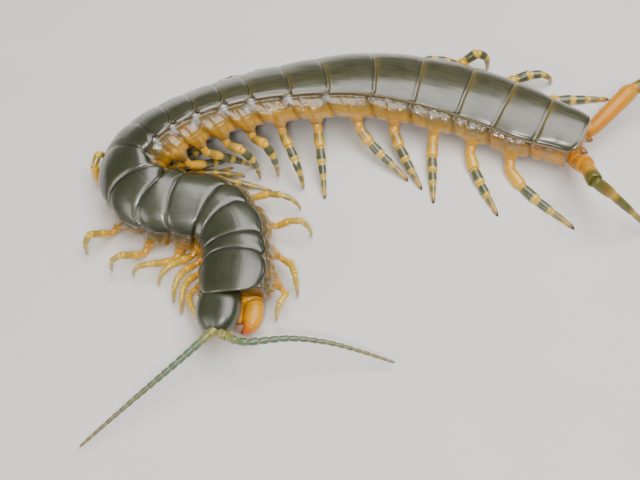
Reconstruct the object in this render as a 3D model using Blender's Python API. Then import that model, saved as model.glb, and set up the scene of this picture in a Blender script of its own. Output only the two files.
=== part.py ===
"""Giant centipede at rest, life size, bent in a hook with its head turned back along its body.

Sizes are in millimetres and become metres when a mesh is made. The animal faces -Y at its head.
A place on the trunk is told by s, the way along the trunk's axis from the front of the first
back plate, with a to the animal's left and b upwards in the body's own, rolled section.
"""
import math

import bmesh
import bpy
from mathutils import Matrix, Vector

MM = 0.001
FRAME_SHIFT = Vector((-23.2, -2.4, 0.0))
GAP = 0.3
UP = Vector((0.0, 0.0, 1.0))

# Trunk axis from front to back: x, y, z, and the roll in degrees that lifts the left side.
# The first and last rows only steer the curve.
AXIS_ROWS = (
    (-17.6, -23.0, 6.6, 12),
    (-18.4, -17.6, 7.0, 12),
    (-17.9, -10.6, 7.0, 12),
    (-18.4, -5.2, 7.0, 12),
    (-20.4, -0.2, 7.0, 12),
    (-25.0, 3.6, 7.0, 12),
    (-31.4, 4.6, 7.2, 14),
    (-37.6, 6.2, 7.8, 18),
    (-41.6, 11.0, 8.8, 26),
    (-41.6, 16.8, 9.8, 34),
    (-37.2, 22.6, 10.2, 37),
    (-26.8, 29.0, 10.2, 37),
    (-10.2, 35.6, 9.2, 29),
    (11.7, 39.8, 7.8, 15),
    (32.8, 36.2, 7.0, 5),
    (51.0, 27.8, 6.8, -4),
    (59.8, 23.6, 6.8, -6),
    (70.0, 18.8, 6.6, -6),
)
AXIS_STEPS = 40

# Back plates: relative lengths from the first to the last, and half widths at some of them
PLATE_LENGTHS = (8.4, 3.8, 6.2, 4.4, 8.0, 5.2, 5.4, 6.5, 5.2, 6.4, 6.2,
                 6.8, 6.8, 9.6, 9.4, 12.2, 11.0, 11.8, 9.8, 9.8, 8.6)
HALF_WIDTHS = ((1, 7.4), (2, 6.5), (8, 7.6), (15, 8.3), (18, 8.2), (20, 7.3), (21, 6.0))
SEGMENTS = len(PLATE_LENGTHS)
SEGMENTS_PER_LENGTH = 3

# Section of the trunk
BACK_HEIGHT = 4.6
MARGIN_HEIGHT = 2.4
ARCH_POWER = 2.4
ARCH_STOPS = (0.35, 0.68, 0.9, 1.0)
SIDE_BULGE = ((1.3, 0.9), (2.0, -1.6), (1.3, -3.7))
BULGE_SHARES = ((1, 0.75), (3, 1.0), (18, 1.0), (20, 0.7), (21, 0.4), (21.5, 0.2))
BELLY_EDGE = (0.8, -4.9)
BELLY_PLATE = ((0.62, -5.35), (0.3, -5.5))
BELLY_DEPTH = -5.55

# Rings of one segment: place along it, rise of the back plate, share of the side bulge,
# drop of the belly plate
SEGMENT_RINGS = (
    (0.00, -0.35, 0.80, -0.30),
    (0.10, 0.00, 0.92, 0.00),
    (0.50, 0.12, 1.06, 0.12),
    (0.86, 0.32, 0.94, 0.05),
    (0.94, -0.30, 0.84, -0.30),
)

# Places of the rings next to a length's ends, where the trunk is straight and where it bends
FIRST_STOPS = (0.12, 0.34)
LAST_STOPS = (0.88, 0.72)
SHARP_BEND = 0.06

# Coxae that carry the walking legs
COXA_RADIUS = 1.3
COXA_REACH = 2.0
COXA_ROOT_DEPTH = 2.2
LOW_SIDE_REACH = 0.045
COXA_HEIGHT = -3.3
COXA_PLACE = 0.6
COXA_SIDES = 6
COXA_SLOPE = -30
COXA_SWING = 0.6
# On the inner side of a bend: how near its centre a coxa may stand, and how much lower it is
INNER_SHARES = {1: 0.3, -1: 0.55}
INNER_DROP = 1.0
# Coxae moved along the trunk, so that they and the joints between lengths keep clear
COXA_SHIFTS = {(2, -1): -0.4, (3, -1): -1.2, (4, -1): 0.8, (5, -1): 1.4, (6, -1): 0.8,
               (6, 1): -1.5, (7, 1): 0.7, (8, 1): 0.3, (9, 1): -0.6}

# Walking legs: length and the joints' places and radii along it
LEG_LENGTHS = ((1, 13.0), (4, 14.5), (12, 16.0), (19, 17.0), (20, 18.5))
LEG_SCALES = ((1, 0.72), (4, 0.82), (9, 0.92), (14, 1.0), (20, 1.08))
# How far a leg first goes straight out, as a share of its reach, which is less for close legs
LEG_BOW = 0.3
CLOSE_LEGS = range(8, 18)
CLOSE_BOW = 0.1
LEG_SIDES = 6
LEG_RINGS = (
    (0.00, 0.96), (0.09, 0.88), (0.18, 1.12), (0.29, 0.90),
    (0.40, 1.04), (0.51, 0.78), (0.61, 0.90), (0.70, 0.62),
    (0.78, 0.64), (0.86, 0.46), (0.94, 0.38), (1.00, 0.12),
)

# Feet of the walking legs on the floor, x and y, from the first leg to the twentieth
LEFT_FEET = (
    (-9.4, -20.4), (-4.8, -14.6), (-1.8, 0.8), (-4.4, 8.0), (-11.0, 13.2),
    (-17.6, 17.2), (-20.4, 19.9), (-23.6, 21.6), (-26.4, 24.0), (-19.4, 22.4),
    (-15.6, 19.6), (-14.0, 16.4), (-9.8, 17.2), (-3.8, 13.6), (1.2, 10.8),
    (21.0, 15.8), (24.0, 13.4), (26.4, 9.6), (41.1, 6.1), (58.4, 2.6),
)
RIGHT_FEET = (
    (-25.2, -22.4), (-30.0, -18.8), (-32.0, -16.0), (-35.6, -11.8), (-41.5, -9.4),
    (-46.4, -8.0), (-52.4, -4.0), (-50.3, 20.9), (-39.8, 36.7), (-32.1, 42.4),
    (-24.6, 44.8), (-18.7, 47.1), (-11.2, 49.6), (-1.3, 51.9), (9.0, 53.2),
    (22.0, 52.2), (36.3, 51.1), (42.8, 50.2), (58.6, 45.8), (72.6, 40.6),
)

# Head, in the frame of the first plate's front: rows of way forward, half width, top, bottom
HEAD_ROWS = (
    (-1.6, 4.3, 4.1, -0.7),
    (1.0, 4.7, 4.4, -0.7),
    (3.6, 4.8, 4.4, -0.7),
    (6.0, 4.65, 4.0, -0.7),
    (7.7, 3.9, 3.3, -0.7),
    (8.6, 2.9, 2.6, -0.5),
    (9.1, 1.6, 2.0, -0.1),
)
HEAD_SIDES = 18
HEAD_SHIFT = -2.0
HEAD_YAW = 8.0
HEAD_FULLNESS = 0.8
HEAD_WAIST = 0.35

# Eyes of one side: way forward, way out and height in the head's frame
OCELLI = ((7.55, 3.55, 1.5), (8.0, 3.1, 1.9), (8.1, 3.25, 1.1), (8.5, 2.75, 1.5))
OCELLUS_RADIUS = 0.36

# Palp of one side: way forward, way out, height and radius in the head's frame
PALP_ROWS = ((4.6, 2.1, -0.2, 0.6), (6.4, 2.6, -0.95, 0.55),
             (8.0, 2.5, -1.0, 0.45), (9.2, 1.7, -1.1, 0.25))

# Feelers from their sockets to their tips
ANTENNA_POINTS = {
    1: ((-19.2, -27.4, 8.3), (-17.4, -28.4, 8.4), (-14.6, -28.8, 8.4), (-6.1, -27.6, 7.6),
        (2.1, -27.9, 5.9), (9.3, -29.1, 3.7), (15.6, -30.6, 1.9)),
    -1: ((-22.6, -26.9, 8.1), (-24.0, -28.2, 8.0), (-28.3, -32.2, 7.3), (-36.0, -38.7, 5.4),
         (-42.9, -44.4, 3.3), (-47.7, -48.4, 1.7)),
}
ANTENNA_ARTICLES = 18
ANTENNA_CROWDING = 0.92
ANTENNA_BASE_RADIUS = 0.85
ANTENNA_TIP_RADIUS = 0.3
ANTENNA_SIDES = 6
ANTENNA_STEPS = 24

# Plate under the head that carries the forcipules: way forward, half width, top, bottom
FORCIPULE_PLATE_ROWS = (
    (-1.5, 5.6, -1.0, -4.8),
    (0.8, 6.2, -1.0, -4.9),
    (1.7, 6.0, -1.0, -4.8),
    (2.1, 1.9, -1.3, -4.7),
    (4.2, 1.75, -1.5, -4.5),
    (5.2, 1.5, -2.0, -4.2),
)
# Outline of that plate's section, as shares of its half width and half height
FORCIPULE_PLATE_OUTLINE = (
    (1.0, 0.35), (0.8, 0.95), (0.4, 1.0), (0.0, 1.0), (-0.4, 1.0), (-0.8, 0.95),
    (-1.0, 0.35), (-0.92, -0.5), (-0.6, -0.95), (0.0, -1.0), (0.6, -0.95), (0.92, -0.5),
)
TEETH_PER_SIDE = 3
# Forcipule of one side: way forward, way out, height and radius
FORCIPULE_ROWS = (
    (2.45, 4.15, -2.9, 1.85),
    (3.4, 4.4, -2.9, 2.0),
    (4.6, 4.4, -2.95, 1.95),
    (5.8, 4.1, -3.0, 1.75),
    (6.7, 3.55, -3.05, 1.4),
    (7.3, 2.75, -3.15, 1.0),
    (7.6, 1.9, -3.2, 0.6),
    (7.7, 1.1, -3.25, 0.2),
)
FORCIPULE_SIDES = 10

# Tail: turn, way out, height and way back of the sockets that carry the ultimate legs
TAIL_SOCKET_TURN = 35
TAIL_SOCKET_OUT = 4.0
TAIL_SOCKET_HEIGHT = -1.6
TAIL_SOCKET_BACK = 1.3
# Lobe behind each socket: way back from its face and radius
TAIL_LOBE_ROWS = ((4.0, 2.2), (1.6, 2.3), (0.0, 1.9))
# Pointed process beside each socket: way out, height and way ahead of its two ends
TAIL_SPIKE_ROOT = (1.7, -1.8, 1.2)
TAIL_SPIKE_TIP = (1.9, -1.4, -4.2)
# Share of its length and radius of each ring of the process
TAIL_SPIKE_ROWS = ((0.0, 1.2), (0.5, 1.0), (0.85, 0.6), (1.0, 0.2))

# Joints of the ultimate legs, from the end of the thick first joint to the claw
ULTIMATE_POINTS = {
    1: ((59.4, 12.7, 11.5), (59.8, 6.7, 14.0), (64.1, 5.3, 11.0), (69.8, 3.5, 6.2),
        (73.8, 2.7, 2.2), (75.6, 2.3, 0.1)),
    -1: ((74.7, 36.7, 8.4), (82.6, 40.2, 9.4), (89.6, 42.4, 6.8), (94.6, 43.6, 3.6),
         (98.0, 44.2, 1.2), (99.4, 44.4, 0.1)),
}
TROCHANTER_LENGTH = 1.9
TROCHANTER_RADII = (1.8, 1.85)
ULTIMATE_RADII = (2.1, 1.85, 1.5, 1.15, 0.8, 0.52, 0.15)
ULTIMATE_SIDES = 8
# Spines of the thick first joint: share of its length and turn round it in degrees
ULTIMATE_SPINES = ((0.3, 35), (0.55, 35), (0.82, 30), (0.4, -30), (0.68, -30),
                   (0.9, 100), (0.5, 150))
SPINE_REACH = 0.9
SPINE_LEAN = 0.7

OLIVE = (0.055, 0.06, 0.03)
AMBER = (0.75, 0.22, 0.03)
YELLOW = (0.70, 0.48, 0.12)
TEAL = (0.10, 0.22, 0.18)


def radians_of(rows):
    """Turn the last entry of each row from degrees into radians."""
    return [(Vector(row[:3]), math.radians(row[3])) for row in rows]


def curve_through(rows, steps):
    """Points and rolls along a Catmull-Rom curve through the rows between the two end rows."""
    pairs = radians_of(rows)
    line = []
    for i in range(1, len(pairs) - 2):
        (p0, r0), (p1, r1), (p2, r2), (p3, r3) = pairs[i - 1:i + 3]
        for k in range(steps):
            t = k / steps
            w0 = -t + 2 * t * t - t ** 3
            w1 = 2 - 5 * t * t + 3 * t ** 3
            w2 = t + 4 * t * t - 3 * t ** 3
            w3 = -t * t + t ** 3
            place = (p0 * w0 + p1 * w1 + p2 * w2 + p3 * w3) / 2
            line.append((place, (r0 * w0 + r1 * w1 + r2 * w2 + r3 * w3) / 2))
    line.append(pairs[-2])
    return line


def way_along(points):
    """Running length at each point of a line."""
    ways = [0.0]
    for a, b in zip(points, points[1:]):
        ways.append(ways[-1] + (b - a).length)
    return ways


AXIS = curve_through(AXIS_ROWS, AXIS_STEPS)
AXIS_WAYS = way_along([place for place, roll in AXIS])
TRUNK_LENGTH = AXIS_WAYS[-1]
BORDERS = [0.0]
for plate in PLATE_LENGTHS:
    BORDERS.append(BORDERS[-1] + plate / sum(PLATE_LENGTHS) * TRUNK_LENGTH)


def between(pairs, x):
    """Straight-line reading of a short table of (x, value) pairs."""
    if x <= pairs[0][0]:
        return pairs[0][1]
    for (x0, y0), (x1, y1) in zip(pairs, pairs[1:]):
        if x <= x1:
            return y0 + (y1 - y0) * (x - x0) / (x1 - x0)
    return pairs[-1][1]


def axis_at(s):
    """Place and roll of the trunk's axis at s."""
    s = min(max(s, 0.0), TRUNK_LENGTH)
    for i in range(1, len(AXIS_WAYS)):
        if s <= AXIS_WAYS[i]:
            t = (s - AXIS_WAYS[i - 1]) / (AXIS_WAYS[i] - AXIS_WAYS[i - 1])
            (p0, r0), (p1, r1) = AXIS[i - 1], AXIS[i]
            return p0.lerp(p1, t), r0 + (r1 - r0) * t
    return AXIS[-1]


class Section:
    """The trunk's own frame at s: axis place, forward, left and up, and the bend's radius."""

    def __init__(self, s):
        self.place, roll = axis_at(s)
        self.forward = (axis_at(s - 0.6)[0] - axis_at(s + 0.6)[0]).normalized()
        left = UP.cross(self.forward).normalized()
        up = self.forward.cross(left)
        self.left = left * math.cos(roll) + up * math.sin(roll)
        self.up = up * math.cos(roll) - left * math.sin(roll)
        self.roll = math.degrees(roll)
        ahead = axis_at(s - 2.1)[0] - axis_at(s - 0.9)[0]
        behind = axis_at(s + 0.9)[0] - axis_at(s + 2.1)[0]
        turn = math.atan2(behind.x * ahead.y - behind.y * ahead.x, behind.xy.dot(ahead.xy))
        self.bend = turn / 3.0

    def squeeze(self, a):
        """Draw in a place on the inner side of a bend, so that neighbouring sections keep clear."""
        if a * self.bend <= 1e-4:
            return a
        radius = 1.0 / abs(self.bend)
        free, more = 0.45 * radius, 0.36 * radius
        if abs(a) <= free:
            return a
        return math.copysign(free + more * (1 - math.exp(-(abs(a) - free) / more)), a)

    def at(self, a, b, ahead=0.0):
        """World place of (a, b) in this section."""
        return self.place + self.left * self.squeeze(a) + self.up * b + self.forward * ahead


def segment_of(s):
    """Number of the segment, with its fraction, that s falls in."""
    for k in range(SEGMENTS):
        if s <= BORDERS[k + 1]:
            return k + 0.5 + (s - BORDERS[k]) / (BORDERS[k + 1] - BORDERS[k])
    return SEGMENTS + 0.5


def half_width(s):
    """Half width of the back plates at s."""
    return between(HALF_WIDTHS, segment_of(s))


def trunk_outline(width, rise, bulge, drop):
    """Half outline of the trunk from the middle of the back round to the middle of the belly."""
    outline = [(0.0, BACK_HEIGHT + rise)]
    for x in ARCH_STOPS:
        height = MARGIN_HEIGHT + (BACK_HEIGHT - MARGIN_HEIGHT) * (1 - x ** ARCH_POWER)
        outline.append((width * x + rise * x ** 4, height + rise * 0.9))
    outline.append((width - 0.3, MARGIN_HEIGHT - 0.5))
    for out, height in SIDE_BULGE:
        outline.append((width + out * bulge, height))
    outline.append((width * BELLY_EDGE[0], BELLY_EDGE[1]))
    for share, height in BELLY_PLATE:
        outline.append((width * share, height - drop))
    outline.append((0.0, BELLY_DEPTH - drop))
    return outline


def trunk_ring(s, rise, bulge, drop, ahead=0.0):
    """One closed ring of trunk points, from the back's middle by the left side to the belly."""
    section = Section(s)
    bulge *= between(BULGE_SHARES, segment_of(s))
    outline = trunk_outline(half_width(s), rise, bulge, drop)
    left = [section.at(a, b, ahead) for a, b in outline]
    right = [section.at(-a, b, ahead) for a, b in outline[1:-1]]
    return left + right[::-1]


def loft(rings):
    """Closed mesh through rings of equal count, with a fan over each end."""
    shape = bmesh.new()
    rows = [[shape.verts.new(point) for point in ring] for ring in rings]
    for row, following in zip(rows, rows[1:]):
        for i in range(len(row)):
            j = (i + 1) % len(row)
            shape.faces.new((row[i], row[j], following[j], following[i]))
    for row, turned in ((rows[0], True), (rows[-1], False)):
        middle = shape.verts.new(sum((v.co for v in row), Vector()) / len(row))
        for i in range(len(row)):
            j = (i + 1) % len(row)
            corner = (row[j], row[i], middle) if turned else (row[i], row[j], middle)
            shape.faces.new(corner)
    bmesh.ops.recalc_face_normals(shape, faces=shape.faces)
    bmesh.ops.triangulate(shape, faces=shape.faces)
    return shape


def disc(centre, direction, radius, sides, up=UP, flat=1.0):
    """Ring of points round centre, square to direction."""
    side = direction.cross(up)
    if side.length < 1e-3:
        side = direction.cross(Vector((1.0, 0.0, 0.0)))
    side.normalize()
    rise = side.cross(direction).normalized()
    ring = []
    for i in range(sides):
        angle = math.tau * (i + 0.5) / sides
        ring.append(centre + side * radius * math.cos(angle) + rise * radius * flat * math.sin(angle))
    return ring


def heading_at(points, i):
    """Way on at one point of a line, which halves the angle of the bend there."""
    return (points[min(i + 1, len(points) - 1)] - points[max(i - 1, 0)]).normalized()


def tube(points, radii, sides):
    """Closed tapering tube whose rings halve the angle at each bend."""
    rings = []
    for i, (point, radius) in enumerate(zip(points, radii)):
        rings.append(disc(point, heading_at(points, i), radius, sides))
    return loft(rings)


def make_object(name, shape):
    """Turn a shape in millimetres into a named object in metres, in the part's own frame."""
    for vert in shape.verts:
        vert.co = (vert.co + FRAME_SHIFT) * MM
    mesh = bpy.data.meshes.new(name)
    shape.to_mesh(mesh)
    shape.free()
    thing = bpy.data.objects.new(name, mesh)
    bpy.context.scene.collection.objects.link(thing)
    return thing


def keep_largest(thing):
    """Drop all but the largest closed surface of an object."""
    shape = bmesh.new()
    shape.from_mesh(thing.data)
    left = set(shape.verts)
    groups = []
    while left:
        seed = left.pop()
        group = {seed}
        edge_of_group = [seed]
        while edge_of_group:
            vert = edge_of_group.pop()
            for edge in vert.link_edges:
                other = edge.other_vert(vert)
                if other in left:
                    left.remove(other)
                    group.add(other)
                    edge_of_group.append(other)
        groups.append(group)
    groups.sort(key=len)
    loose = [vert for group in groups[:-1] for vert in group]
    bmesh.ops.delete(shape, geom=loose, context="VERTS")
    bmesh.ops.triangulate(shape, faces=shape.faces)
    shape.to_mesh(thing.data)
    shape.free()


def join(thing, pieces):
    """Fuse pieces into an object by one Boolean union."""
    group = bpy.data.collections.new(thing.name + "_pieces")
    for piece in pieces:
        bpy.context.scene.collection.objects.unlink(piece)
        group.objects.link(piece)
    union = thing.modifiers.new("union", "BOOLEAN")
    union.operation = "UNION"
    union.operand_type = "COLLECTION"
    union.collection = group
    union.solver = "EXACT"
    bpy.context.view_layer.update()
    mesh = bpy.data.meshes.new_from_object(thing.evaluated_get(bpy.context.evaluated_depsgraph_get()))
    thing.modifiers.clear()
    thing.data = mesh
    for piece in pieces:
        bpy.data.objects.remove(piece)
    bpy.data.collections.remove(group)
    keep_largest(thing)


def paint(thing, name, colour, roughness):
    """Give an object its own plain material."""
    material = bpy.data.materials.new(name)
    material.use_nodes = True
    shader = material.node_tree.nodes["Principled BSDF"]
    shader.inputs["Base Color"].default_value = (*colour, 1.0)
    shader.inputs["Roughness"].default_value = roughness
    shader.inputs["Metallic"].default_value = 0.0
    thing.data.materials.clear()
    thing.data.materials.append(material)


class Coxa:
    """Stump of one walking leg: its root, its way out and the flat face the leg starts from."""

    def __init__(self, number, side):
        """side is 1 on the left and -1 on the right."""
        s = BORDERS[number - 1] + (BORDERS[number] - BORDERS[number - 1]) * COXA_PLACE
        s += COXA_SHIFTS.get((number, side), 0.0)
        section = Section(s)
        self.radius = COXA_RADIUS * between(LEG_SCALES, number)
        lift = section.roll * side
        slope = COXA_SLOPE + (0.8 * -lift if lift < 0 else -0.6 * lift)
        a, height = half_width(s) + 0.4, COXA_HEIGHT
        share = INNER_SHARES[side]
        if section.bend * side > share / a:
            a = share / abs(section.bend)
            height -= INNER_DROP if side == 1 else 0.0
        self.root = section.place + section.left * a * side + section.up * height
        feet = LEFT_FEET if side == 1 else RIGHT_FEET
        level = (section.left * side).xy.normalized()
        to_foot = (Vector(feet[number - 1]) - self.root.xy).normalized()
        level = (level + to_foot * COXA_SWING).normalized()
        angle = math.radians(slope)
        self.way = Vector((*level, 0.0)) * math.cos(angle) + UP * math.sin(angle)
        self.face = self.root + self.way * (COXA_REACH + max(0.0, -lift) * LOW_SIDE_REACH)

    def piece(self):
        """The stump as a short tapering drum, sunk well into the trunk."""
        points = [self.root - self.way * COXA_ROOT_DEPTH, self.root + self.way * 0.8, self.face]
        radii = [self.radius * 1.05, self.radius * 1.12, self.radius * 0.95]
        return make_object("coxa", tube(points, radii, COXA_SIDES))


def build_trunk():
    """The trunk in lengths of three segments, each with its plates raised and its coxae fused on."""
    for first in range(0, SEGMENTS, SEGMENTS_PER_LENGTH):
        last = min(first + SEGMENTS_PER_LENGTH, SEGMENTS)
        rings = []
        for k in range(first, last):
            start, length = BORDERS[k], BORDERS[k + 1] - BORDERS[k]
            for i, (stop, rise, bulge, drop) in enumerate(SEGMENT_RINGS):
                opening = k == first and i == 0
                if k == first and i == 1:
                    stop = FIRST_STOPS[abs(Section(start).bend) > SHARP_BEND]
                if k == last - 1 and i == 3:
                    stop = LAST_STOPS[abs(Section(start + length).bend) > SHARP_BEND]
                if k == last - 1 and i == 4:
                    continue
                ahead = -GAP / 2 if opening and first > 0 else 0.0
                rings.append(trunk_ring(start + length * stop, rise, bulge, drop, ahead))
        stop, rise, bulge, drop = SEGMENT_RINGS[0]
        rings.append(trunk_ring(BORDERS[last], rise, bulge, drop, GAP / 2 if last < SEGMENTS else 0.0))
        trunk = make_object(f"trunk_{first // SEGMENTS_PER_LENGTH + 1}", loft(rings))
        pieces = []
        for number in range(first + 1, last + 1):
            if number <= len(LEFT_FEET):
                pieces += [Coxa(number, 1).piece(), Coxa(number, -1).piece()]
        if last == SEGMENTS:
            pieces += build_tail_pieces()
        join(trunk, pieces)
        paint(trunk, trunk.name, OLIVE, 0.3)


def build_tail_pieces():
    """Lobes that carry the ultimate legs, each with its pointed process."""
    section = Section(TRUNK_LENGTH)
    pieces = []
    for side in (1, -1):
        face, way = ultimate_socket(side)
        points = [face - way * back for back, radius in TAIL_LOBE_ROWS]
        lobe = tube(points, [radius for back, radius in TAIL_LOBE_ROWS], ULTIMATE_SIDES)
        pieces.append(make_object("tail_lobe", lobe))
        out, height, ahead = TAIL_SPIKE_ROOT
        root = section.at(out * side, height, ahead)
        out, height, ahead = TAIL_SPIKE_TIP
        tip = section.at(out * side, height, ahead)
        points = [root.lerp(tip, share) for share, radius in TAIL_SPIKE_ROWS]
        spike = tube(points, [radius for share, radius in TAIL_SPIKE_ROWS], COXA_SIDES)
        pieces.append(make_object("tail_spike", spike))
    return pieces


def ultimate_socket(side):
    """Centre and way out of the flat face that an ultimate leg starts from."""
    section = Section(TRUNK_LENGTH)
    angle = math.radians(TAIL_SOCKET_TURN)
    way = section.left * side * math.sin(angle) - section.forward * math.cos(angle)
    return section.at(TAIL_SOCKET_OUT * side, TAIL_SOCKET_HEIGHT, -TAIL_SOCKET_BACK), way


def leg_points(start, way, foot, length, bow=LEG_BOW):
    """Points along a leg's middle line, arched so that it has the wanted length."""
    foot = foot.copy()
    foot.z = 0.1
    back = start - foot
    back.z = 0.0
    reach = back.length
    back.normalize()

    def path(arch):
        c1 = start + way * (reach * bow + arch * 0.25) + UP * arch * 0.3
        c2 = foot + back * reach * 0.15 + UP * (start.z * 0.3 + arch)
        line = []
        for k in range(61):
            t = k / 60
            line.append(start * (1 - t) ** 3 + c1 * 3 * t * (1 - t) ** 2
                        + c2 * 3 * t * t * (1 - t) + foot * t ** 3)
        return line

    low, high = 0.0, 30.0
    for _ in range(24):
        arch = (low + high) / 2
        if way_along(path(arch))[-1] < length:
            low = arch
        else:
            high = arch
    return path(low)


def along(points, share):
    """Point at a share of the length of a line."""
    ways = way_along(points)
    want = share * ways[-1]
    for i in range(1, len(ways)):
        if want <= ways[i]:
            return points[i - 1].lerp(points[i], (want - ways[i - 1]) / (ways[i] - ways[i - 1]))
    return points[-1]


def rest_on_floor(shape):
    """Flatten what would reach below the floor."""
    for vert in shape.verts:
        vert.co.z = max(vert.co.z, 0.0)


def build_leg(number, side):
    """One walking leg, from its coxa's face to its claw on the floor."""
    coxa = Coxa(number, side)
    start = coxa.face + coxa.way * GAP
    feet = LEFT_FEET if side == 1 else RIGHT_FEET
    foot = Vector((*feet[number - 1], 0.0))
    bow = CLOSE_BOW if side == -1 and number in CLOSE_LEGS else LEG_BOW
    line = leg_points(start, coxa.way, foot, between(LEG_LENGTHS, number), bow)
    scale = between(LEG_SCALES, number)
    points = [along(line, share) for share, radius in LEG_RINGS]
    points[1] = start + coxa.way * (points[1] - start).length
    radii = [radius * scale for share, radius in LEG_RINGS]
    rings = []
    for i, (point, radius) in enumerate(zip(points, radii)):
        heading = coxa.way if i == 0 else heading_at(points, i)
        rings.append(disc(point, heading, radius, LEG_SIDES))
    shape = loft(rings)
    rest_on_floor(shape)
    name = ("leg_left_" if side == 1 else "leg_right_") + f"{number:02d}"
    leg = make_object(name, shape)
    paint(leg, name, YELLOW, 0.35)


def build_ultimate_leg(side):
    """One ultimate leg with the spines of its first joint."""
    face, way = ultimate_socket(side)
    joints = [face + way * TROCHANTER_LENGTH] + [Vector(point) for point in ULTIMATE_POINTS[side]]
    points = [face + way * GAP, face + way * (GAP + 0.5), joints[0]]
    radii = [*TROCHANTER_RADII, ULTIMATE_RADII[0] * 0.9]
    for i in range(len(joints) - 1):
        a, b = joints[i], joints[i + 1]
        r0, r1 = ULTIMATE_RADII[i], ULTIMATE_RADII[i + 1]
        if i == len(joints) - 2:
            points.append(b)
            radii.append(r1)
            continue
        for share, swell in ((0.25, 1.06), (0.75, 1.04)):
            points.append(a.lerp(b, share))
            radii.append((r0 + (r1 - r0) * share) * swell)
        points.append(b)
        radii.append(r1 * 0.84)
    shape = tube(points, radii, ULTIMATE_SIDES)
    rest_on_floor(shape)
    name = "ultimate_leg_left" if side == 1 else "ultimate_leg_right"
    leg = make_object(name, shape)
    spines = []
    first = joints[1] - joints[0]
    across = first.cross(UP).normalized()
    over = across.cross(first).normalized()
    for share, turn in ULTIMATE_SPINES:
        angle = math.radians(turn)
        out = across * math.cos(angle) * side + over * math.sin(angle)
        middle = joints[0] + first * share
        radius = ULTIMATE_RADII[0] + (ULTIMATE_RADII[1] - ULTIMATE_RADII[0]) * share
        root = middle + out * radius * 0.5
        tip = middle + out * (radius + SPINE_REACH) + first.normalized() * SPINE_LEAN
        spine = tube([root, root.lerp(tip, 0.6), tip], [0.5, 0.36, 0.1], 5)
        spines.append(make_object("spine", spine))
    join(leg, spines)
    paint(leg, name, AMBER, 0.3)


class FrontFrame:
    """Frame at the front of the first back plate, for the head and the forcipules."""

    def __init__(self, shift=0.0, yaw=0.0):
        base = Section(0.0)
        turn = Matrix.Rotation(math.radians(-yaw), 3, base.up)
        self.forward = turn @ base.forward
        self.left = turn @ base.left
        self.up = base.up
        self.place = base.place + base.left * shift
        self.cut_place = base.place + base.forward * GAP
        self.cut_way = base.forward

    def at(self, ahead, a, b):
        """World place, told by way forward, way left and way up."""
        return self.place + self.forward * ahead + self.left * a + self.up * b


def cut_rear(shape, frame):
    """Cut a shape square in front of the first trunk length."""
    faces = shape.verts[:] + shape.edges[:] + shape.faces[:]
    cut = bmesh.ops.bisect_plane(shape, geom=faces, plane_co=frame.cut_place,
                                 plane_no=frame.cut_way, clear_inner=True)
    edges = [item for item in cut["geom_cut"] if isinstance(item, bmesh.types.BMEdge)]
    bmesh.ops.contextual_create(shape, geom=edges)
    bmesh.ops.triangulate(shape, faces=shape.faces)
    bmesh.ops.recalc_face_normals(shape, faces=shape.faces)


def build_head():
    """Head capsule with ocelli, antenna sockets and the palps below."""
    frame = FrontFrame(HEAD_SHIFT, HEAD_YAW)
    rings = []
    for ahead, width, top, bottom in HEAD_ROWS:
        ring = []
        for i in range(HEAD_SIDES):
            angle = math.tau * i / HEAD_SIDES
            x, y = math.cos(angle), math.sin(angle)
            x = math.copysign(abs(x) ** HEAD_FULLNESS, x)
            middle = bottom + (top - bottom) * HEAD_WAIST
            if y >= 0:
                height = (top - middle) * y ** 0.9
            else:
                height = (bottom - middle) * min(1.0, -y * 1.6)
            ring.append(frame.at(ahead, width * x, middle + height))
        rings.append(ring)
    shape = loft(rings)
    cut_rear(shape, frame)
    head = make_object("head", shape)
    pieces = []
    for side in (1, -1):
        for ahead, out, height in OCELLI:
            eye = bmesh.new()
            place = Matrix.Translation(frame.at(ahead, out * side, height))
            bmesh.ops.create_icosphere(eye, subdivisions=1, radius=OCELLUS_RADIUS, matrix=place)
            pieces.append(make_object("ocellus", eye))
        face, way = antenna_socket(side)
        pieces.append(make_object("socket", tube([face - way * 1.8, face], [0.95, 0.9], 8)))
        palp = [frame.at(ahead, out * side, height) for ahead, out, height, radius in PALP_ROWS]
        pieces.append(make_object("palp", tube(palp, [row[3] for row in PALP_ROWS], 6)))
    join(head, pieces)
    paint(head, "head", OLIVE, 0.25)


def antenna_socket(side):
    """Centre and way out of the flat face that an antenna starts from."""
    points = ANTENNA_POINTS[side]
    way = (Vector(points[1]) - Vector(points[0])).normalized()
    return Vector(points[0]), way


def build_antenna(side):
    """One antenna, pinched between its articles."""
    face, way = antenna_socket(side)
    rows = [(*point, 0) for point in ANTENNA_POINTS[side]]
    handle = Vector(rows[0][:3]) - way * 2.0
    ending = 2 * Vector(rows[-1][:3]) - Vector(rows[-2][:3])
    rows = [(*handle, 0)] + rows + [(*ending, 0)]
    line = [place for place, roll in curve_through(rows, ANTENNA_STEPS)]
    points, radii = [], []
    for k in range(ANTENNA_ARTICLES):
        for share, swell in ((0.0, 0.84), (0.6, 1.04)):
            t = (k + share) / ANTENNA_ARTICLES
            reach = t ** ANTENNA_CROWDING
            radius = ANTENNA_BASE_RADIUS + (ANTENNA_TIP_RADIUS - ANTENNA_BASE_RADIUS) * reach
            points.append(along(line, reach))
            radii.append(radius * swell)
    points.append(along(line, 1.0))
    radii.append(ANTENNA_TIP_RADIUS * 0.7)
    points[0] = face + way * GAP
    rings = []
    for i, (point, radius) in enumerate(zip(points, radii)):
        heading = way if i == 0 else heading_at(points, i)
        rings.append(disc(point, heading, radius, ANTENNA_SIDES))
    name = "antenna_left" if side == 1 else "antenna_right"
    antenna = make_object(name, loft(rings))
    paint(antenna, name, TEAL, 0.35)


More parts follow.
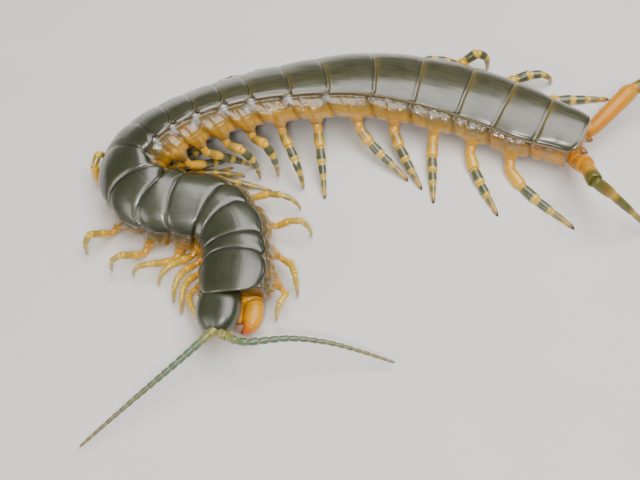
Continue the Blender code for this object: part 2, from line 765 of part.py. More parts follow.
def build_forcipule_plate():
    """Broad plate under the head with two toothed lobes at its front."""
    frame = FrontFrame()
    rings = []
    for ahead, width, top, bottom in FORCIPULE_PLATE_ROWS:
        ring = []
        for x, y in FORCIPULE_PLATE_OUTLINE:
            height = (top + bottom) / 2 + (top - bottom) / 2 * y
            ring.append(frame.at(ahead, width * x, height))
        rings.append(ring)
    shape = loft(rings)
    cut_rear(shape, frame)
    plate = make_object("forcipule_plate", shape)
    teeth = []
    for side in (1, -1):
        for k in range(TEETH_PER_SIDE):
            root = frame.at(4.6, (0.4 + 0.42 * k) * side, -3.2)
            tip = frame.at(5.75 - 0.08 * k, (0.42 + 0.44 * k) * side, -3.3)
            teeth.append(make_object("tooth", tube([root, tip], [0.3, 0.12], 6)))
    join(plate, teeth)
    paint(plate, "forcipule_plate", AMBER, 0.3)


def build_forcipule(side):
    """One forcipule, a fat curved fang that closes under the head."""
    frame = FrontFrame()
    points = [frame.at(ahead, out * side, height) for ahead, out, height, radius in FORCIPULE_ROWS]
    radii = [row[3] for row in FORCIPULE_ROWS]
    rings = []
    for i, (point, radius) in enumerate(zip(points, radii)):
        heading = frame.forward if i == 0 else heading_at(points, i)
        rings.append(disc(point, heading, radius, FORCIPULE_SIDES, up=frame.up, flat=0.92))
    name = "forcipule_left" if side == 1 else "forcipule_right"
    fang = make_object(name, loft(rings))
    paint(fang, name, AMBER, 0.25)


def clear_scene():
    """Remove whatever the file opened with."""
    for thing in list(bpy.data.objects):
        bpy.data.objects.remove(thing)


def main():
    clear_scene()
    build_trunk()
    build_head()
    build_forcipule_plate()
    for side in (1, -1):
        build_forcipule(side)
        build_antenna(side)
        build_ultimate_leg(side)
        for number in range(1, len(LEFT_FEET) + 1):
            build_leg(number, side)


main()
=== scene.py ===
"""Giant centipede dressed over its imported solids.

A piece is modelled in millimetres, in the same frame that the part's source works in, and settle()
then moves it into the part's own frame in metres. A place on the trunk is told by s, the way along
the axis from the front of the first back plate, with a to the animal's left and b upwards.
"""
import functools
import math

import bpy
import numpy as np
from mathutils import Matrix, Vector, noise


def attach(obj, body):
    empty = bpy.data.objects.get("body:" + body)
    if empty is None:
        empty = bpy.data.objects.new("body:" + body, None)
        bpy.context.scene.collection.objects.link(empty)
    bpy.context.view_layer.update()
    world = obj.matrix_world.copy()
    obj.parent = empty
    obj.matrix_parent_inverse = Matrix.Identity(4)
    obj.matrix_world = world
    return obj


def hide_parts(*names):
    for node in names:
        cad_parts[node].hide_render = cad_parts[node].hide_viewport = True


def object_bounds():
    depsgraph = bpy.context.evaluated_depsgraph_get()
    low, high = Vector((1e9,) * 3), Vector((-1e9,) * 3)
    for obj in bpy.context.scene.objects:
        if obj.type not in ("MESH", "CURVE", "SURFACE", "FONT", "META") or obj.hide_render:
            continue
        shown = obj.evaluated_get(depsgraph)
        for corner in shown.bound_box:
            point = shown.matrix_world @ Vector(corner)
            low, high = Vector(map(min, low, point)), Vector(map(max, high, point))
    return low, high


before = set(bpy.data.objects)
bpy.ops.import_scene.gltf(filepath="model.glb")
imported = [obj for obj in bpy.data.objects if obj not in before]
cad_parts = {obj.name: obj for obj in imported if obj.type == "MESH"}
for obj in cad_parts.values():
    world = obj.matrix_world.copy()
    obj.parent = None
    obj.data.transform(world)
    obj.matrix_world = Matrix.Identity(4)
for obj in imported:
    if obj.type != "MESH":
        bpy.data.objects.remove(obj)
cad_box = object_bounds()
bpy.ops.object.select_all(action="DESELECT")

MM = 0.001
FRAME_SHIFT = Vector((-23.2, -2.4, 0.0))
GAP = 0.3
UP = Vector((0.0, 0.0, 1.0))

# Trunk axis from front to back: x, y, z, and the roll in degrees that lifts the left side
AXIS_ROWS = (
    (-17.6, -23.0, 6.6, 12),
    (-18.4, -17.6, 7.0, 12),
    (-17.9, -10.6, 7.0, 12),
    (-18.4, -5.2, 7.0, 12),
    (-20.4, -0.2, 7.0, 12),
    (-25.0, 3.6, 7.0, 12),
    (-31.4, 4.6, 7.2, 14),
    (-37.6, 6.2, 7.8, 18),
    (-41.6, 11.0, 8.8, 26),
    (-41.6, 16.8, 9.8, 34),
    (-37.2, 22.6, 10.2, 37),
    (-26.8, 29.0, 10.2, 37),
    (-10.2, 35.6, 9.2, 29),
    (11.7, 39.8, 7.8, 15),
    (32.8, 36.2, 7.0, 5),
    (51.0, 27.8, 6.8, -4),
    (59.8, 23.6, 6.8, -6),
    (70.0, 18.8, 6.6, -6),
)
AXIS_STEPS = 40

# Back plates: relative lengths from the first to the last, and half widths at some of them
PLATE_LENGTHS = (8.4, 3.8, 6.2, 4.4, 8.0, 5.2, 5.4, 6.5, 5.2, 6.4, 6.2,
                 6.8, 6.8, 9.6, 9.4, 12.2, 11.0, 11.8, 9.8, 9.8, 8.6)
HALF_WIDTHS = ((1, 7.4), (2, 6.5), (8, 7.6), (15, 8.3), (18, 8.2), (20, 7.3), (21, 6.0))
SEGMENTS = len(PLATE_LENGTHS)
SIDES = {1: "left", -1: "right"}

# Section of the trunk
BACK_HEIGHT = 4.6
MARGIN_HEIGHT = 2.4
ARCH_POWER = 2.4
BULGE_SHARES = ((1, 0.35), (2, 0.55), (3, 0.85), (4, 1.0), (18, 1.0), (20, 0.7), (21, 0.4),
                (21.5, 0.2))

# Coxae that carry the walking legs
COXA_RADIUS = 1.3
COXA_REACH = 2.0
COXA_ROOT_DEPTH = 2.2
LOW_SIDE_REACH = 0.045
COXA_HEIGHT = -3.3
COXA_PLACE = 0.6
COXA_SWING = 0.6
INNER_SHARES = {1: 0.3, -1: 0.55}
INNER_DROP = 1.0
COXA_SHIFTS = {(2, -1): -0.4, (3, -1): -1.2, (4, -1): 0.8, (5, -1): 1.4, (6, -1): 0.8,
               (6, 1): -1.5, (7, 1): 0.7, (8, 1): 0.3, (9, 1): -0.6}

# Rear edges of the back plates: how far the middle bows back and how wide the corners are rounded
REAR_BOWS = ((1, 0.8), (2, 0.6), (3, 1.4), (4, 0.9), (5, 1.5), (8, 1.4), (10, 0.9), (13, 0.45),
             (20, 0.35), (21, 0.6))
REAR_CORNERS = ((1, 3.0), (2, 1.6), (3, 3.2), (4, 2.2), (5, 2.6), (9, 2.6), (13, 2.2), (15, 1.2), (17, 0.8),
                (20, 0.8), (21, 2.2))
FRONT_CORNERS = ((1, 3.2), (2, 1.0), (8, 1.2), (10, 2.0), (14, 1.7), (16, 1.0), (20, 0.9))
FRONT_TUCK = 0.25
BACK_THICKNESS = 0.28
BELLY_THICKNESS = 0.25
BELLY_HEIGHT = -5.40
BELLY_WIDTH_SHARE = 0.60
BELLY_FRONT_GAP = 0.05
BELLY_REAR_GAP = 0.04

# Side skin: how far its folds lean and how deep they are, by segment, and where in a segment two lie
LEAN_STOPS = (5, 7, 14, 17)
LEANS = (0.0, 0.24, 0.24, 0.08)
FOLD_DEPTHS = ((6, 1.0), (8, 1.45), (13, 1.45), (15, 1.0))
MIDDLE_FOLD = 0.40
REAR_FOLD = 0.74
SKIN_GRAIN = 0.30

# Walking legs: whole lengths, thicknesses, and for each joint its share and thickest radius
LEG_LENGTHS = ((1, 13.0), (4, 14.5), (12, 16.0), (19, 17.0), (20, 18.5))
LEG_SCALES = ((1, 0.72), (4, 0.82), (9, 0.92), (14, 1.0), (20, 1.08))
LEG_STOUTNESS = ((12, 1.0), (17, 1.2), (20, 1.26))
BAND_STRENGTHS = {1: ((1, 0.05), (3, 0.3), (5, 0.7), (8, 1.0)),
                  -1: ((1, 0.10), (4, 0.25), (7, 0.45), (10, 1.0))}
LEG_BOW = 0.3
LEG_LINE_STEPS = 60
ARCH_LIMIT = 30.0
ARCH_HALVINGS = 24
CLAW_HOOK = 0.225
CLOSE_LEGS = range(8, 18)
CLOSE_BOW = 0.1
LEG_ARTICLES = (
    ("trochanter", 0.00, 0.09, 0.95),
    ("thigh", 0.09, 0.29, 1.10),
    ("thigh", 0.29, 0.51, 0.98),
    ("shin", 0.51, 0.70, 0.84),
    ("foot", 0.70, 0.86, 0.62),
    ("foot", 0.86, 0.955, 0.46),
    ("claw", 0.95, 1.00, 0.33),
)

# Feet of the walking legs on the floor, x and y, from the first leg to the twentieth
LEFT_FEET = (
    (-9.4, -20.4), (-4.8, -14.6), (-1.8, 0.8), (-4.4, 8.0), (-11.0, 13.2),
    (-17.6, 17.2), (-20.4, 19.9), (-23.6, 21.6), (-26.4, 24.0), (-19.4, 22.4),
    (-15.6, 19.6), (-14.0, 16.4), (-9.8, 17.2), (-3.8, 13.6), (1.2, 10.8),
    (21.0, 15.8), (24.0, 13.4), (26.4, 9.6), (41.1, 6.1), (58.4, 2.6),
)
RIGHT_FEET = (
    (-25.2, -22.4), (-30.0, -18.8), (-32.0, -16.0), (-35.6, -11.8), (-41.5, -9.4),
    (-46.4, -8.0), (-52.4, -4.0), (-50.3, 20.9), (-39.8, 36.7), (-32.1, 42.4),
    (-24.6, 44.8), (-18.7, 47.1), (-11.2, 49.6), (-1.3, 51.9), (9.0, 53.2),
    (22.0, 52.2), (36.3, 51.1), (42.8, 50.2), (58.6, 45.8), (72.6, 40.6),
)
WALKING_LEGS = len(LEFT_FEET)

# Head, in the frame of the first plate's front: rows of way forward, half width, top, bottom
HEAD_ROWS = (
    (-1.6, 4.3, 4.1, -0.7),
    (1.0, 4.7, 4.4, -0.7),
    (3.6, 4.8, 4.4, -0.7),
    (6.0, 4.65, 4.0, -0.7),
    (7.7, 3.9, 3.3, -0.7),
    (8.6, 2.9, 2.6, -0.5),
    (9.1, 1.6, 2.0, -0.1),
)
HEAD_START = -0.9
HEAD_LENGTH = 10.15
HEAD_WIDEST = 4.8
HEAD_ROUNDING_START = 3.4
HEAD_ROUNDING_LENGTH = 5.86
HEAD_SHIFT = -2.0
HEAD_YAW = 8.0
OCELLI = ((7.55, 3.55, 1.5), (8.0, 3.1, 1.9), (8.1, 3.25, 1.1), (8.5, 2.75, 1.5))
OCELLUS_SIZE = 0.288

# Palps below the head, joint by joint: way forward, way out and height, then each joint's radius
PALP_JOINTS = ((4.6, 2.1, -0.2), (6.4, 2.6, -0.95), (8.0, 2.5, -1.0), (9.1, 1.8, -1.1), (9.5, 1.4, -1.15))
PALP_ARTICLES = (("thigh", 0.62), ("shin", 0.58), ("foot", 0.48), ("claw", 0.22))

# Feelers from their sockets to their tips
ANTENNA_POINTS = {
    1: ((-19.2, -27.4, 8.3), (-17.4, -28.4, 8.4), (-14.6, -28.8, 8.4), (-6.1, -27.6, 7.6), (2.1, -27.9, 5.9),
        (9.3, -29.1, 3.7), (15.6, -30.6, 1.9)),
    -1: ((-22.6, -26.9, 8.1), (-24.0, -28.2, 8.0), (-28.3, -32.2, 7.3), (-36.0, -38.7, 5.4),
         (-42.9, -44.4, 3.3), (-47.7, -48.4, 1.7)),
}
ANTENNA_ARTICLES = 18
ANTENNA_BASE_RADIUS = 0.85
ANTENNA_TIP_RADIUS = 0.3

# Plate under the head: way forward, half width, top, bottom. Forcipules: way forward, way out,
# height, radius; and the rings cut into them, with their depths
FORCIPULE_PLATE_ROWS = ((-1.5, 5.6, -1.0, -4.8), (0.8, 6.2, -1.0, -4.9), (1.7, 6.0, -1.0, -4.8),
                        (2.1, 1.9, -1.3, -4.7), (4.2, 1.75, -1.5, -4.5), (5.2, 1.5, -2.0, -4.2))
FORCIPULE_PLATE_START = -0.8
FORCIPULE_PLATE_LENGTH = 6.0
FORCIPULE_ROWS = ((0.4, 3.9, -2.8, 1.75), (1.4, 4.0, -2.85, 2.0), (2.8, 3.95, -2.9, 2.12),
                  (4.2, 3.75, -2.9, 2.14), (5.3, 3.5, -2.95, 2.0), (6.1, 3.05, -3.0, 1.66),
                  (6.7, 2.4, -3.1, 1.13), (7.0, 1.75, -3.2, 0.64), (7.15, 1.2, -3.25, 0.22))
FORCIPULE_RINGS = ((0.15, 0.13), (0.70, 0.08), (0.77, 0.08))
TEETH = 4

# Tail: sockets and stumps of the ultimate legs, the legs' joints from the first one to the claw, the
# nubs between them with root, tip and size, and the spines on the first joint, each with its share of
# the length and its turn round the joint in degrees
TAIL_SOCKET_TURN = 35
TAIL_SOCKET_OUT = 4.0
TAIL_SOCKET_HEIGHT = -1.6
TAIL_SOCKET_BACK = 1.3
TROCHANTER_LENGTH = 1.9
TAIL_STUMP_SIZE = (1.85, 1.95, 4.6)
TAIL_STUMP_DEPTH = 4.4
ULTIMATE_POINTS = {
    1: ((59.4, 12.7, 11.5), (59.8, 6.7, 14.0), (64.1, 5.3, 11.0), (69.8, 3.5, 6.2), (73.8, 2.7, 2.2),
        (75.6, 2.3, 0.1)),
    -1: ((74.7, 36.7, 8.4), (82.6, 40.2, 9.4), (89.6, 42.4, 6.8), (94.6, 43.6, 3.6), (98.0, 44.2, 1.2),
         (99.4, 44.4, 0.1)),
}
ULTIMATE_ARTICLES = (("thigh", 2.0), ("thigh", 1.72), ("shin", 1.38), ("foot", 1.03), ("foot", 0.7),
                     ("claw", 0.48))
TAIL_NUBS = (((1.7, -1.6, 1.2), (1.9, -1.2, -4.3), (1.15, 1.15, 5.4)),
             ((0.9, -0.2, 1.2), (0.9, -0.6, -2.3), (1.7, 1.9, 3.6)))
ULTIMATE_SPINES = ((0.3, 35), (0.55, 35), (0.82, 30), (0.4, -30), (0.68, -30), (0.9, 100), (0.5, 150))
SPIRACLE_SEGMENTS = (3, 5, 8, 10, 12, 14, 16, 18, 20)
SPIRACLE_PLACE = 0.70
SPIRACLE_TURNS = {1: 0.232, -1: 0.768}
SPIRACLE_SIZE = (0.78, 0.50, 0.9)

# Studio: lights with place, width, depth, power and colour; those not hung level are aimed
LEVEL_LIGHTS = (
    ("top_softbox", (0.13, 0.04, 0.46), 0.42, 0.58, 3.6, (1.0, 0.98, 0.95)),
    ("rear_softbox", (-0.045, 0.25, 0.46), 0.15, 0.17, 0.40, (1.0, 0.98, 0.95)),
)
AIMED_LIGHTS = (
    ("front_lamp", (-0.05, -0.22, 0.30), 0.05, 0.04, 0.45, (1.0, 0.97, 0.92)),
    ("fill_softbox", (-0.40, -0.25, 0.25), 0.20, 0.20, 0.6, (1.0, 0.94, 0.87)),
)
CAMERA_PLACE = (-0.0232, -0.1024, 0.1732)
CAMERA_TILT = 30.0
CAMERA_VIEW = 40.0
SENSOR_WIDTH = 36.0


def curve_through(rows, steps):
    """Points and rolls along a Catmull-Rom curve through the rows between the two end rows."""
    pairs = [(Vector(row[:3]), math.radians(row[3])) for row in rows]
    line = []
    for i in range(1, len(pairs) - 2):
        (p0, r0), (p1, r1), (p2, r2), (p3, r3) = pairs[i - 1:i + 3]
        for k in range(steps):
            t = k / steps
            w0 = -t + 2 * t * t - t ** 3
            w1 = 2 - 5 * t * t + 3 * t ** 3
            w2 = t + 4 * t * t - 3 * t ** 3
            w3 = -t * t + t ** 3
            place = (p0 * w0 + p1 * w1 + p2 * w2 + p3 * w3) / 2
            line.append((place, (r0 * w0 + r1 * w1 + r2 * w2 + r3 * w3) / 2))
    line.append(pairs[-2])
    return line


def line_through(points, steps):
    """Points along a Catmull-Rom curve through plain points, without the two end ones."""
    return [place for place, roll in curve_through([(*point, 0) for point in points], steps)]


def way_along(points):
    """Running length at each point of a line."""
    ways = [0.0]
    for a, b in zip(points, points[1:]):
        ways.append(ways[-1] + (b - a).length)
    return ways


AXIS = curve_through(AXIS_ROWS, AXIS_STEPS)
AXIS_WAYS = way_along([place for place, roll in AXIS])
TRUNK_LENGTH = AXIS_WAYS[-1]
BORDERS = [0.0]
for plate in PLATE_LENGTHS:
    BORDERS.append(BORDERS[-1] + plate / sum(PLATE_LENGTHS) * TRUNK_LENGTH)


def between(pairs, x):
    """Straight-line reading of a short table of (x, value) pairs."""
    if x <= pairs[0][0]:
        return pairs[0][1]
    for (x0, y0), (x1, y1) in zip(pairs, pairs[1:]):
        if x <= x1:
            return y0 + (y1 - y0) * (x - x0) / (x1 - x0)
    return pairs[-1][1]


def smooth_between(pairs, x):
    """Reading of a short table of (x, value) pairs on a smooth curve through them."""
    if x <= pairs[0][0]:
        return pairs[0][1]
    if x >= pairs[-1][0]:
        return pairs[-1][1]
    i = max(k for k in range(len(pairs) - 1) if pairs[k][0] <= x)
    x1, y1 = pairs[i]
    x2, y2 = pairs[i + 1]
    x0, y0 = pairs[i - 1] if i else (2 * x1 - x2, y1)
    x3, y3 = pairs[i + 2] if i + 2 < len(pairs) else (2 * x2 - x1, y2)
    t = (x - x1) / (x2 - x1)
    m1 = (y2 - y0) / (x2 - x0) * (x2 - x1)
    m2 = (y3 - y1) / (x3 - x1) * (x2 - x1)
    return ((2 * t ** 3 - 3 * t * t + 1) * y1 + (t ** 3 - 2 * t * t + t) * m1
            + (3 * t * t - 2 * t ** 3) * y2 + (t ** 3 - t * t) * m2)


def clamp(x, low, high):
    """x, kept between low and high."""
    return min(max(x, low), high)


def hump(x, width):
    """Bell curve of height 1 round zero."""
    return math.exp(-(x / width) ** 2)


def ease(x, low, high):
    """Smooth step from 0 at low to 1 at high."""
    t = clamp((x - low) / (high - low), 0.0, 1.0)
    return t * t * (3 - 2 * t)


def axis_at(s):
    """Place and roll of the trunk's axis at s."""
    s = clamp(s, 0.0, TRUNK_LENGTH)
    i = max(1, int(np.searchsorted(AXIS_WAYS, s)))
    t = (s - AXIS_WAYS[i - 1]) / (AXIS_WAYS[i] - AXIS_WAYS[i - 1])
    (p0, r0), (p1, r1) = AXIS[i - 1], AXIS[i]
    return p0.lerp(p1, t), r0 + (r1 - r0) * t


class Section:
    """The trunk's own frame at s: axis place, forward, left and up, and the bend's radius."""

    def __init__(self, s):
        self.over = min(0.0, s) + max(0.0, s - TRUNK_LENGTH)
        s -= self.over
        self.place, roll = axis_at(s)
        self.forward = (axis_at(s - 0.6)[0] - axis_at(s + 0.6)[0]).normalized()
        left = UP.cross(self.forward).normalized()
        up = self.forward.cross(left)
        self.left = left * math.cos(roll) + up * math.sin(roll)
        self.up = up * math.cos(roll) - left * math.sin(roll)
        self.roll = math.degrees(roll)
        ahead = axis_at(s - 2.1)[0] - axis_at(s - 0.9)[0]
        behind = axis_at(s + 0.9)[0] - axis_at(s + 2.1)[0]
        turn = math.atan2(behind.x * ahead.y - behind.y * ahead.x, behind.xy.dot(ahead.xy))
        self.bend = turn / 3.0

    def squeeze(self, a):
        """Draw in a place on the inner side of a bend, so that neighbouring sections keep clear."""
        if a * self.bend <= 1e-4:
            return a
        radius = 1.0 / abs(self.bend)
        free, more = 0.45 * radius, 0.36 * radius
        if abs(a) <= free:
            return a
        return math.copysign(free + more * (1 - math.exp(-(abs(a) - free) / more)), a)

    def at(self, a, b, ahead=0.0):
        """World place of (a, b) in this section, which goes straight on beyond the trunk's ends."""
        return self.place + self.left * self.squeeze(a) + self.up * b + self.forward * (ahead - self.over)


@functools.cache
def section_at(s):
    """The trunk's section at s, made once for all the points that share it."""
    return Section(s)


def segment_of(s):
    """Number of the segment, with its fraction, that s falls in."""
    for k in range(SEGMENTS):
        if s <= BORDERS[k + 1]:
            return k + 0.5 + (s - BORDERS[k]) / (BORDERS[k + 1] - BORDERS[k])
    return SEGMENTS + 0.5


def half_width(s):
    """Half width of the back plates at s."""
    return between(HALF_WIDTHS, segment_of(s))


def select_only(thing):
    """Make one object the only selected and active one."""
    bpy.ops.object.select_all(action="DESELECT")
    bpy.context.view_layer.objects.active = thing
    thing.select_set(True)


def apply_modifiers(thing):
    """Apply every modifier of an object, from the first."""
    select_only(thing)
    for modifier in list(thing.modifiers):
        bpy.ops.object.modifier_apply(modifier=modifier.name)


def close_and_face_out(thing):
    """Merge doubles and turn all faces outwards."""
    select_only(thing)
    bpy.ops.object.mode_set(mode="EDIT")
    bpy.ops.mesh.select_all(action="SELECT")
    bpy.ops.mesh.remove_doubles(threshold=0.0005)
    bpy.ops.mesh.normals_make_consistent(inside=False)
    bpy.ops.object.mode_set(mode="OBJECT")


def note(thing, name, values):
    """Write one vector for each vertex of a piece, for its material to read."""
    layer = thing.data.attributes.new(name, "FLOAT_VECTOR", "POINT")
    layer.data.foreach_set("vector", [x for value in values for x in value])


def heights_of(thing):
    """Height of each vertex of a piece."""
    return [vert.co.z for vert in thing.data.vertices]


def named(thing, name):
    """Name an object and its mesh alike."""
    thing.name = name
    thing.data.name = name
    return thing


def join_all(name, things):
    """Join pieces into the first one by Blender's join."""
    bpy.ops.object.select_all(action="DESELECT")
    for thing in things:
        thing.select_set(True)
    bpy.context.view_layer.objects.active = things[0]
    if len(things) > 1:
        bpy.ops.object.join()
    return named(things[0], name)


def settle(thing, material, nodes=(), smooth_angle=40.0):
    """Move a finished piece into the part's frame in metres, finish it and let it ride."""
    select_only(thing)
    bpy.ops.object.shade_smooth_by_angle(angle=math.radians(smooth_angle))
    thing.data.transform(Matrix.Scale(MM, 4) @ Matrix.Translation(FRAME_SHIFT))
    thing.data.materials.clear()
    thing.data.materials.append(material)
    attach(thing, "root")
    if nodes:
        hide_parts(*nodes)
    return thing


def turned(name, rows, sides):
    """Round piece about Z, drawn up ring by ring from rows of height and radius."""
    height, radius = rows[0]
    bpy.ops.mesh.primitive_circle_add(vertices=sides, radius=radius, fill_type="NGON",
                                      location=(0, 0, height))
    thing = bpy.context.object
    thing.name = name
    bpy.ops.object.transform_apply(location=True)
    bpy.ops.object.mode_set(mode="EDIT")
    bpy.ops.mesh.select_all(action="SELECT")
    for z, r in rows[1:]:
        bpy.ops.mesh.extrude_region_move(TRANSFORM_OT_translate={"value": (0, 0, z - height)})
        bpy.ops.transform.resize(value=(r / radius, r / radius, 1), center_override=(0, 0, z))
        height, radius = z, r
    bpy.ops.mesh.select_all(action="SELECT")
    bpy.ops.mesh.normals_make_consistent(inside=False)
    bpy.ops.object.mode_set(mode="OBJECT")
    return thing


def frame_along(a, b, up=UP):
    """Matrix with Z from a to b, Y as near up as can be, and its origin at a."""
    z = (b - a).normalized()
    x = up.cross(z)
    if x.length < 1e-3:
        x = Vector((1.0, 0.0, 0.0)).cross(z)
    x.normalize()
    y = z.cross(x)
    turn = Matrix((x, y, z)).transposed().to_4x4()
    return Matrix.Translation(a) @ turn


def placed_copy(model, matrix):
    """Copy of a model piece with its own mesh, moved into place."""
    copy = model.copy()
    copy.data = model.data.copy()
    copy.data.transform(matrix)
    bpy.context.scene.collection.objects.link(copy)
    return copy


def lay_along(thing, points, up=UP):
    """Bend a straight piece about Z so that its heights from 0 to 1 run along a line."""
    ways = way_along(points)
    for vert in thing.data.vertices:
        want = clamp(vert.co.z, 0.0, 1.0) * ways[-1]
        i = min(max(1, int(np.searchsorted(ways, want))), len(ways) - 1)
        t = (want - ways[i - 1]) / (ways[i] - ways[i - 1])
        middle = points[i - 1].lerp(points[i], t)
        before = points[max(i - 2, 0)]
        after = points[min(i + 1, len(points) - 1)]
        here = (points[i] - points[i - 1]).normalized()
        heading = here * 0.5 + ((points[i] - before).normalized() * (1 - t)
                                + (after - points[i - 1]).normalized() * t)
        side = up.cross(heading).normalized()
        rise = heading.cross(side).normalized()
        vert.co = middle + side * vert.co.x + rise * vert.co.y


def along(points, share):
    """Point at a share of the length of a line."""
    ways = way_along(points)
    want = share * ways[-1]
    for i in range(1, len(ways)):
        if want <= ways[i]:
            return points[i - 1].lerp(points[i], (want - ways[i - 1]) / (ways[i] - ways[i - 1]))
    return points[-1]


class Paint:
    """Node tree of one finish, with a short call for each kind of node it is mixed from."""

    def __init__(self, name):
        self.material = bpy.data.materials.new(name)
        self.material.use_nodes = True
        self.tree = self.material.node_tree
        self.shader = self.tree.nodes["Principled BSDF"]
        self.place = self.node("ShaderNodeTexCoord").outputs["Object"]

    def node(self, kind, **settings):
        made = self.tree.nodes.new(kind)
        for key, value in settings.items():
            setattr(made, key, value)
        return made

    def put(self, value, socket):
        """Link a socket, or set it to a plain value."""
        if isinstance(value, bpy.types.NodeSocket):
            self.tree.links.new(value, socket)
        elif hasattr(value, "__len__"):
            socket.default_value = value if len(value) == len(socket.default_value) else (*value, 1.0)
        else:
            socket.default_value = value

    def noted(self, name):
        """The three numbers of one of the piece's own attributes."""
        read = self.node("ShaderNodeAttribute", attribute_name=name)
        split = self.node("ShaderNodeSeparateXYZ")
        self.put(read.outputs["Vector"], split.inputs[0])
        return split.outputs

    def math(self, operation, a, b):
        made = self.node("ShaderNodeMath", operation=operation)
        self.put(a, made.inputs[0])
        self.put(b, made.inputs[1])
        return made.outputs[0]

    def times(self, a, b):
        return self.math("MULTIPLY", a, b)

    def plus(self, a, b):
        return self.math("ADD", a, b)

    def strayed(self, value, noise_level, reach):
        """A value moved up and down by a noise round its middle."""
        return self.plus(value, self.times(self.math("SUBTRACT", noise_level, 0.5), reach))

    def combine(self, x, y, z):
        made = self.node("ShaderNodeCombineXYZ")
        for value, socket in zip((x, y, z), made.inputs):
            self.put(value, socket)
        return made.outputs[0]

    def ramp(self, value, stops):
        """Straight-line change through stops of a place and its level or colour."""
        made = self.node("ShaderNodeValToRGB")
        elements = made.color_ramp.elements
        while len(elements) < len(stops):
            elements.new(0.5)
        for element, (place, colour) in zip(elements, stops):
            element.position = place
        for element, (place, colour) in zip(elements, stops):
            element.position = place
            element.color = (colour,) * 3 + (1.0,) if not hasattr(colour, "__len__") else (*colour, 1.0)
        self.put(value, made.inputs[0])
        return made.outputs[0]

    def step(self, value, low, high, a=0.0, b=1.0):
        """Smooth change from a at low to b at high."""
        made = self.node("ShaderNodeMapRange", interpolation_type="SMOOTHSTEP")
        for x, socket in zip((value, low, high, a, b), made.inputs):
            self.put(x, socket)
        return made.outputs[0]

    def mix(self, share, a, b):
        made = self.node("ShaderNodeMix", data_type="RGBA")
        self.put(share, made.inputs[0])
        self.put(a, made.inputs[6])
        self.put(b, made.inputs[7])
        return made.outputs[2]

    def noise(self, scale, detail=2.0, place=None, roughness=0.5, stretch=None):
        made = self.node("ShaderNodeTexNoise")
        vector = place or self.place
        if stretch:
            mapping = self.node("ShaderNodeMapping")
            mapping.inputs["Scale"].default_value = stretch
            self.put(vector, mapping.inputs["Vector"])
            vector = mapping.outputs[0]
        self.put(vector, made.inputs["Vector"])
        made.inputs["Scale"].default_value = scale
        made.inputs["Detail"].default_value = detail
        made.inputs["Roughness"].default_value = roughness
        return made.outputs["Fac"]

    def cells(self, scale):
        made = self.node("ShaderNodeTexVoronoi")
        self.put(self.place, made.inputs["Vector"])
        made.inputs["Scale"].default_value = scale
        return made.outputs["Distance"]

    def bump(self, height, distance, strength):
        made = self.node("ShaderNodeBump")
        made.inputs["Strength"].default_value = strength
        made.inputs["Distance"].default_value = distance
        self.put(height, made.inputs["Height"])
        return made.outputs[0]

    def finish(self, colour, roughness, normal, **plain):
        """Plug the mixed colour, roughness and normal in, and set plain values on the shader."""
        self.put(colour, self.shader.inputs["Base Color"])
        self.put(roughness, self.shader.inputs["Roughness"])
        self.put(normal, self.shader.inputs["Normal"])
        for name, value in plain.items():
            self.put(value, self.shader.inputs[name.replace("_", " ")])
        return self.material


def plate_cuticle(name, coat_roughness):
    """Glossy dark olive plate: fine streaks, an amber front strip, a thin gold rim that is partly a painted
    highlight, and a dark line.
    """
    paint = Paint(name)
    way, across, number = paint.noted("lay")
    front, side, rear = paint.noted("edges")
    flat = paint.combine(paint.times(way, 0.10), across, number)
    streaks = paint.noise(2.2, 4.0, place=flat, roughness=0.55)
    clouds = paint.noise(300.0, 3.0)
    dark = paint.mix(clouds, (0.014, 0.016, 0.006), (0.034, 0.036, 0.011))
    tail = paint.step(number, 0.42, 0.70)
    light = paint.mix(tail, (0.036, 0.042, 0.013), (0.078, 0.070, 0.018))
    olive = paint.mix(paint.ramp(streaks, ((0.30, 0.0), (0.72, 1.0))), dark, light)
    strip = paint.step(paint.plus(front, paint.times(streaks, 2.4)), 3.2, 0.8)
    strip = paint.times(strip, paint.step(number, 0.45, 0.72, 0.10, 0.75))
    strip = paint.times(strip, paint.step(across, 4.0, -1.0, 0.45, 1.0))
    amber = paint.mix(strip, olive, (0.19, 0.135, 0.016))
    free = paint.math("MINIMUM", side, rear)
    ink = paint.step(free, 0.62, 0.30)
    lined = paint.mix(paint.times(ink, 0.75), amber, (0.005, 0.008, 0.009))
    # Thin gold rim along the side and rear edges, stronger on the tail plates: partly the raised rim's own
    # pale colour, partly a painted highlight along it.
    rim = paint.times(paint.step(free, 0.20, 0.10), paint.step(number, 0.40, 0.66, 0.15, 0.65))
    rim_with_painted_highlight = paint.mix(rim, lined, (0.30, 0.22, 0.07))
    pits = paint.cells(900.0)
    grain = paint.noise(1500.0, 3.0)
    soft = paint.noise(230.0, 2.0)
    height = paint.plus(paint.times(grain, 0.25), paint.times(soft, 2.0))
    height = paint.plus(height, paint.times(paint.ramp(pits, ((0.0, 0.0), (0.25, 1.0))), 0.15))
    height = paint.plus(height, paint.times(streaks, 0.9))
    normal = paint.bump(height, 0.00006, 0.8)
    rough = paint.step(soft, 0.3, 0.7, 0.30, 0.42)
    return paint.finish(rim_with_painted_highlight, rough, normal, Coat_Weight=0.9, Coat_Roughness=coat_roughness,
                        Specular_IOR_Level=0.8)


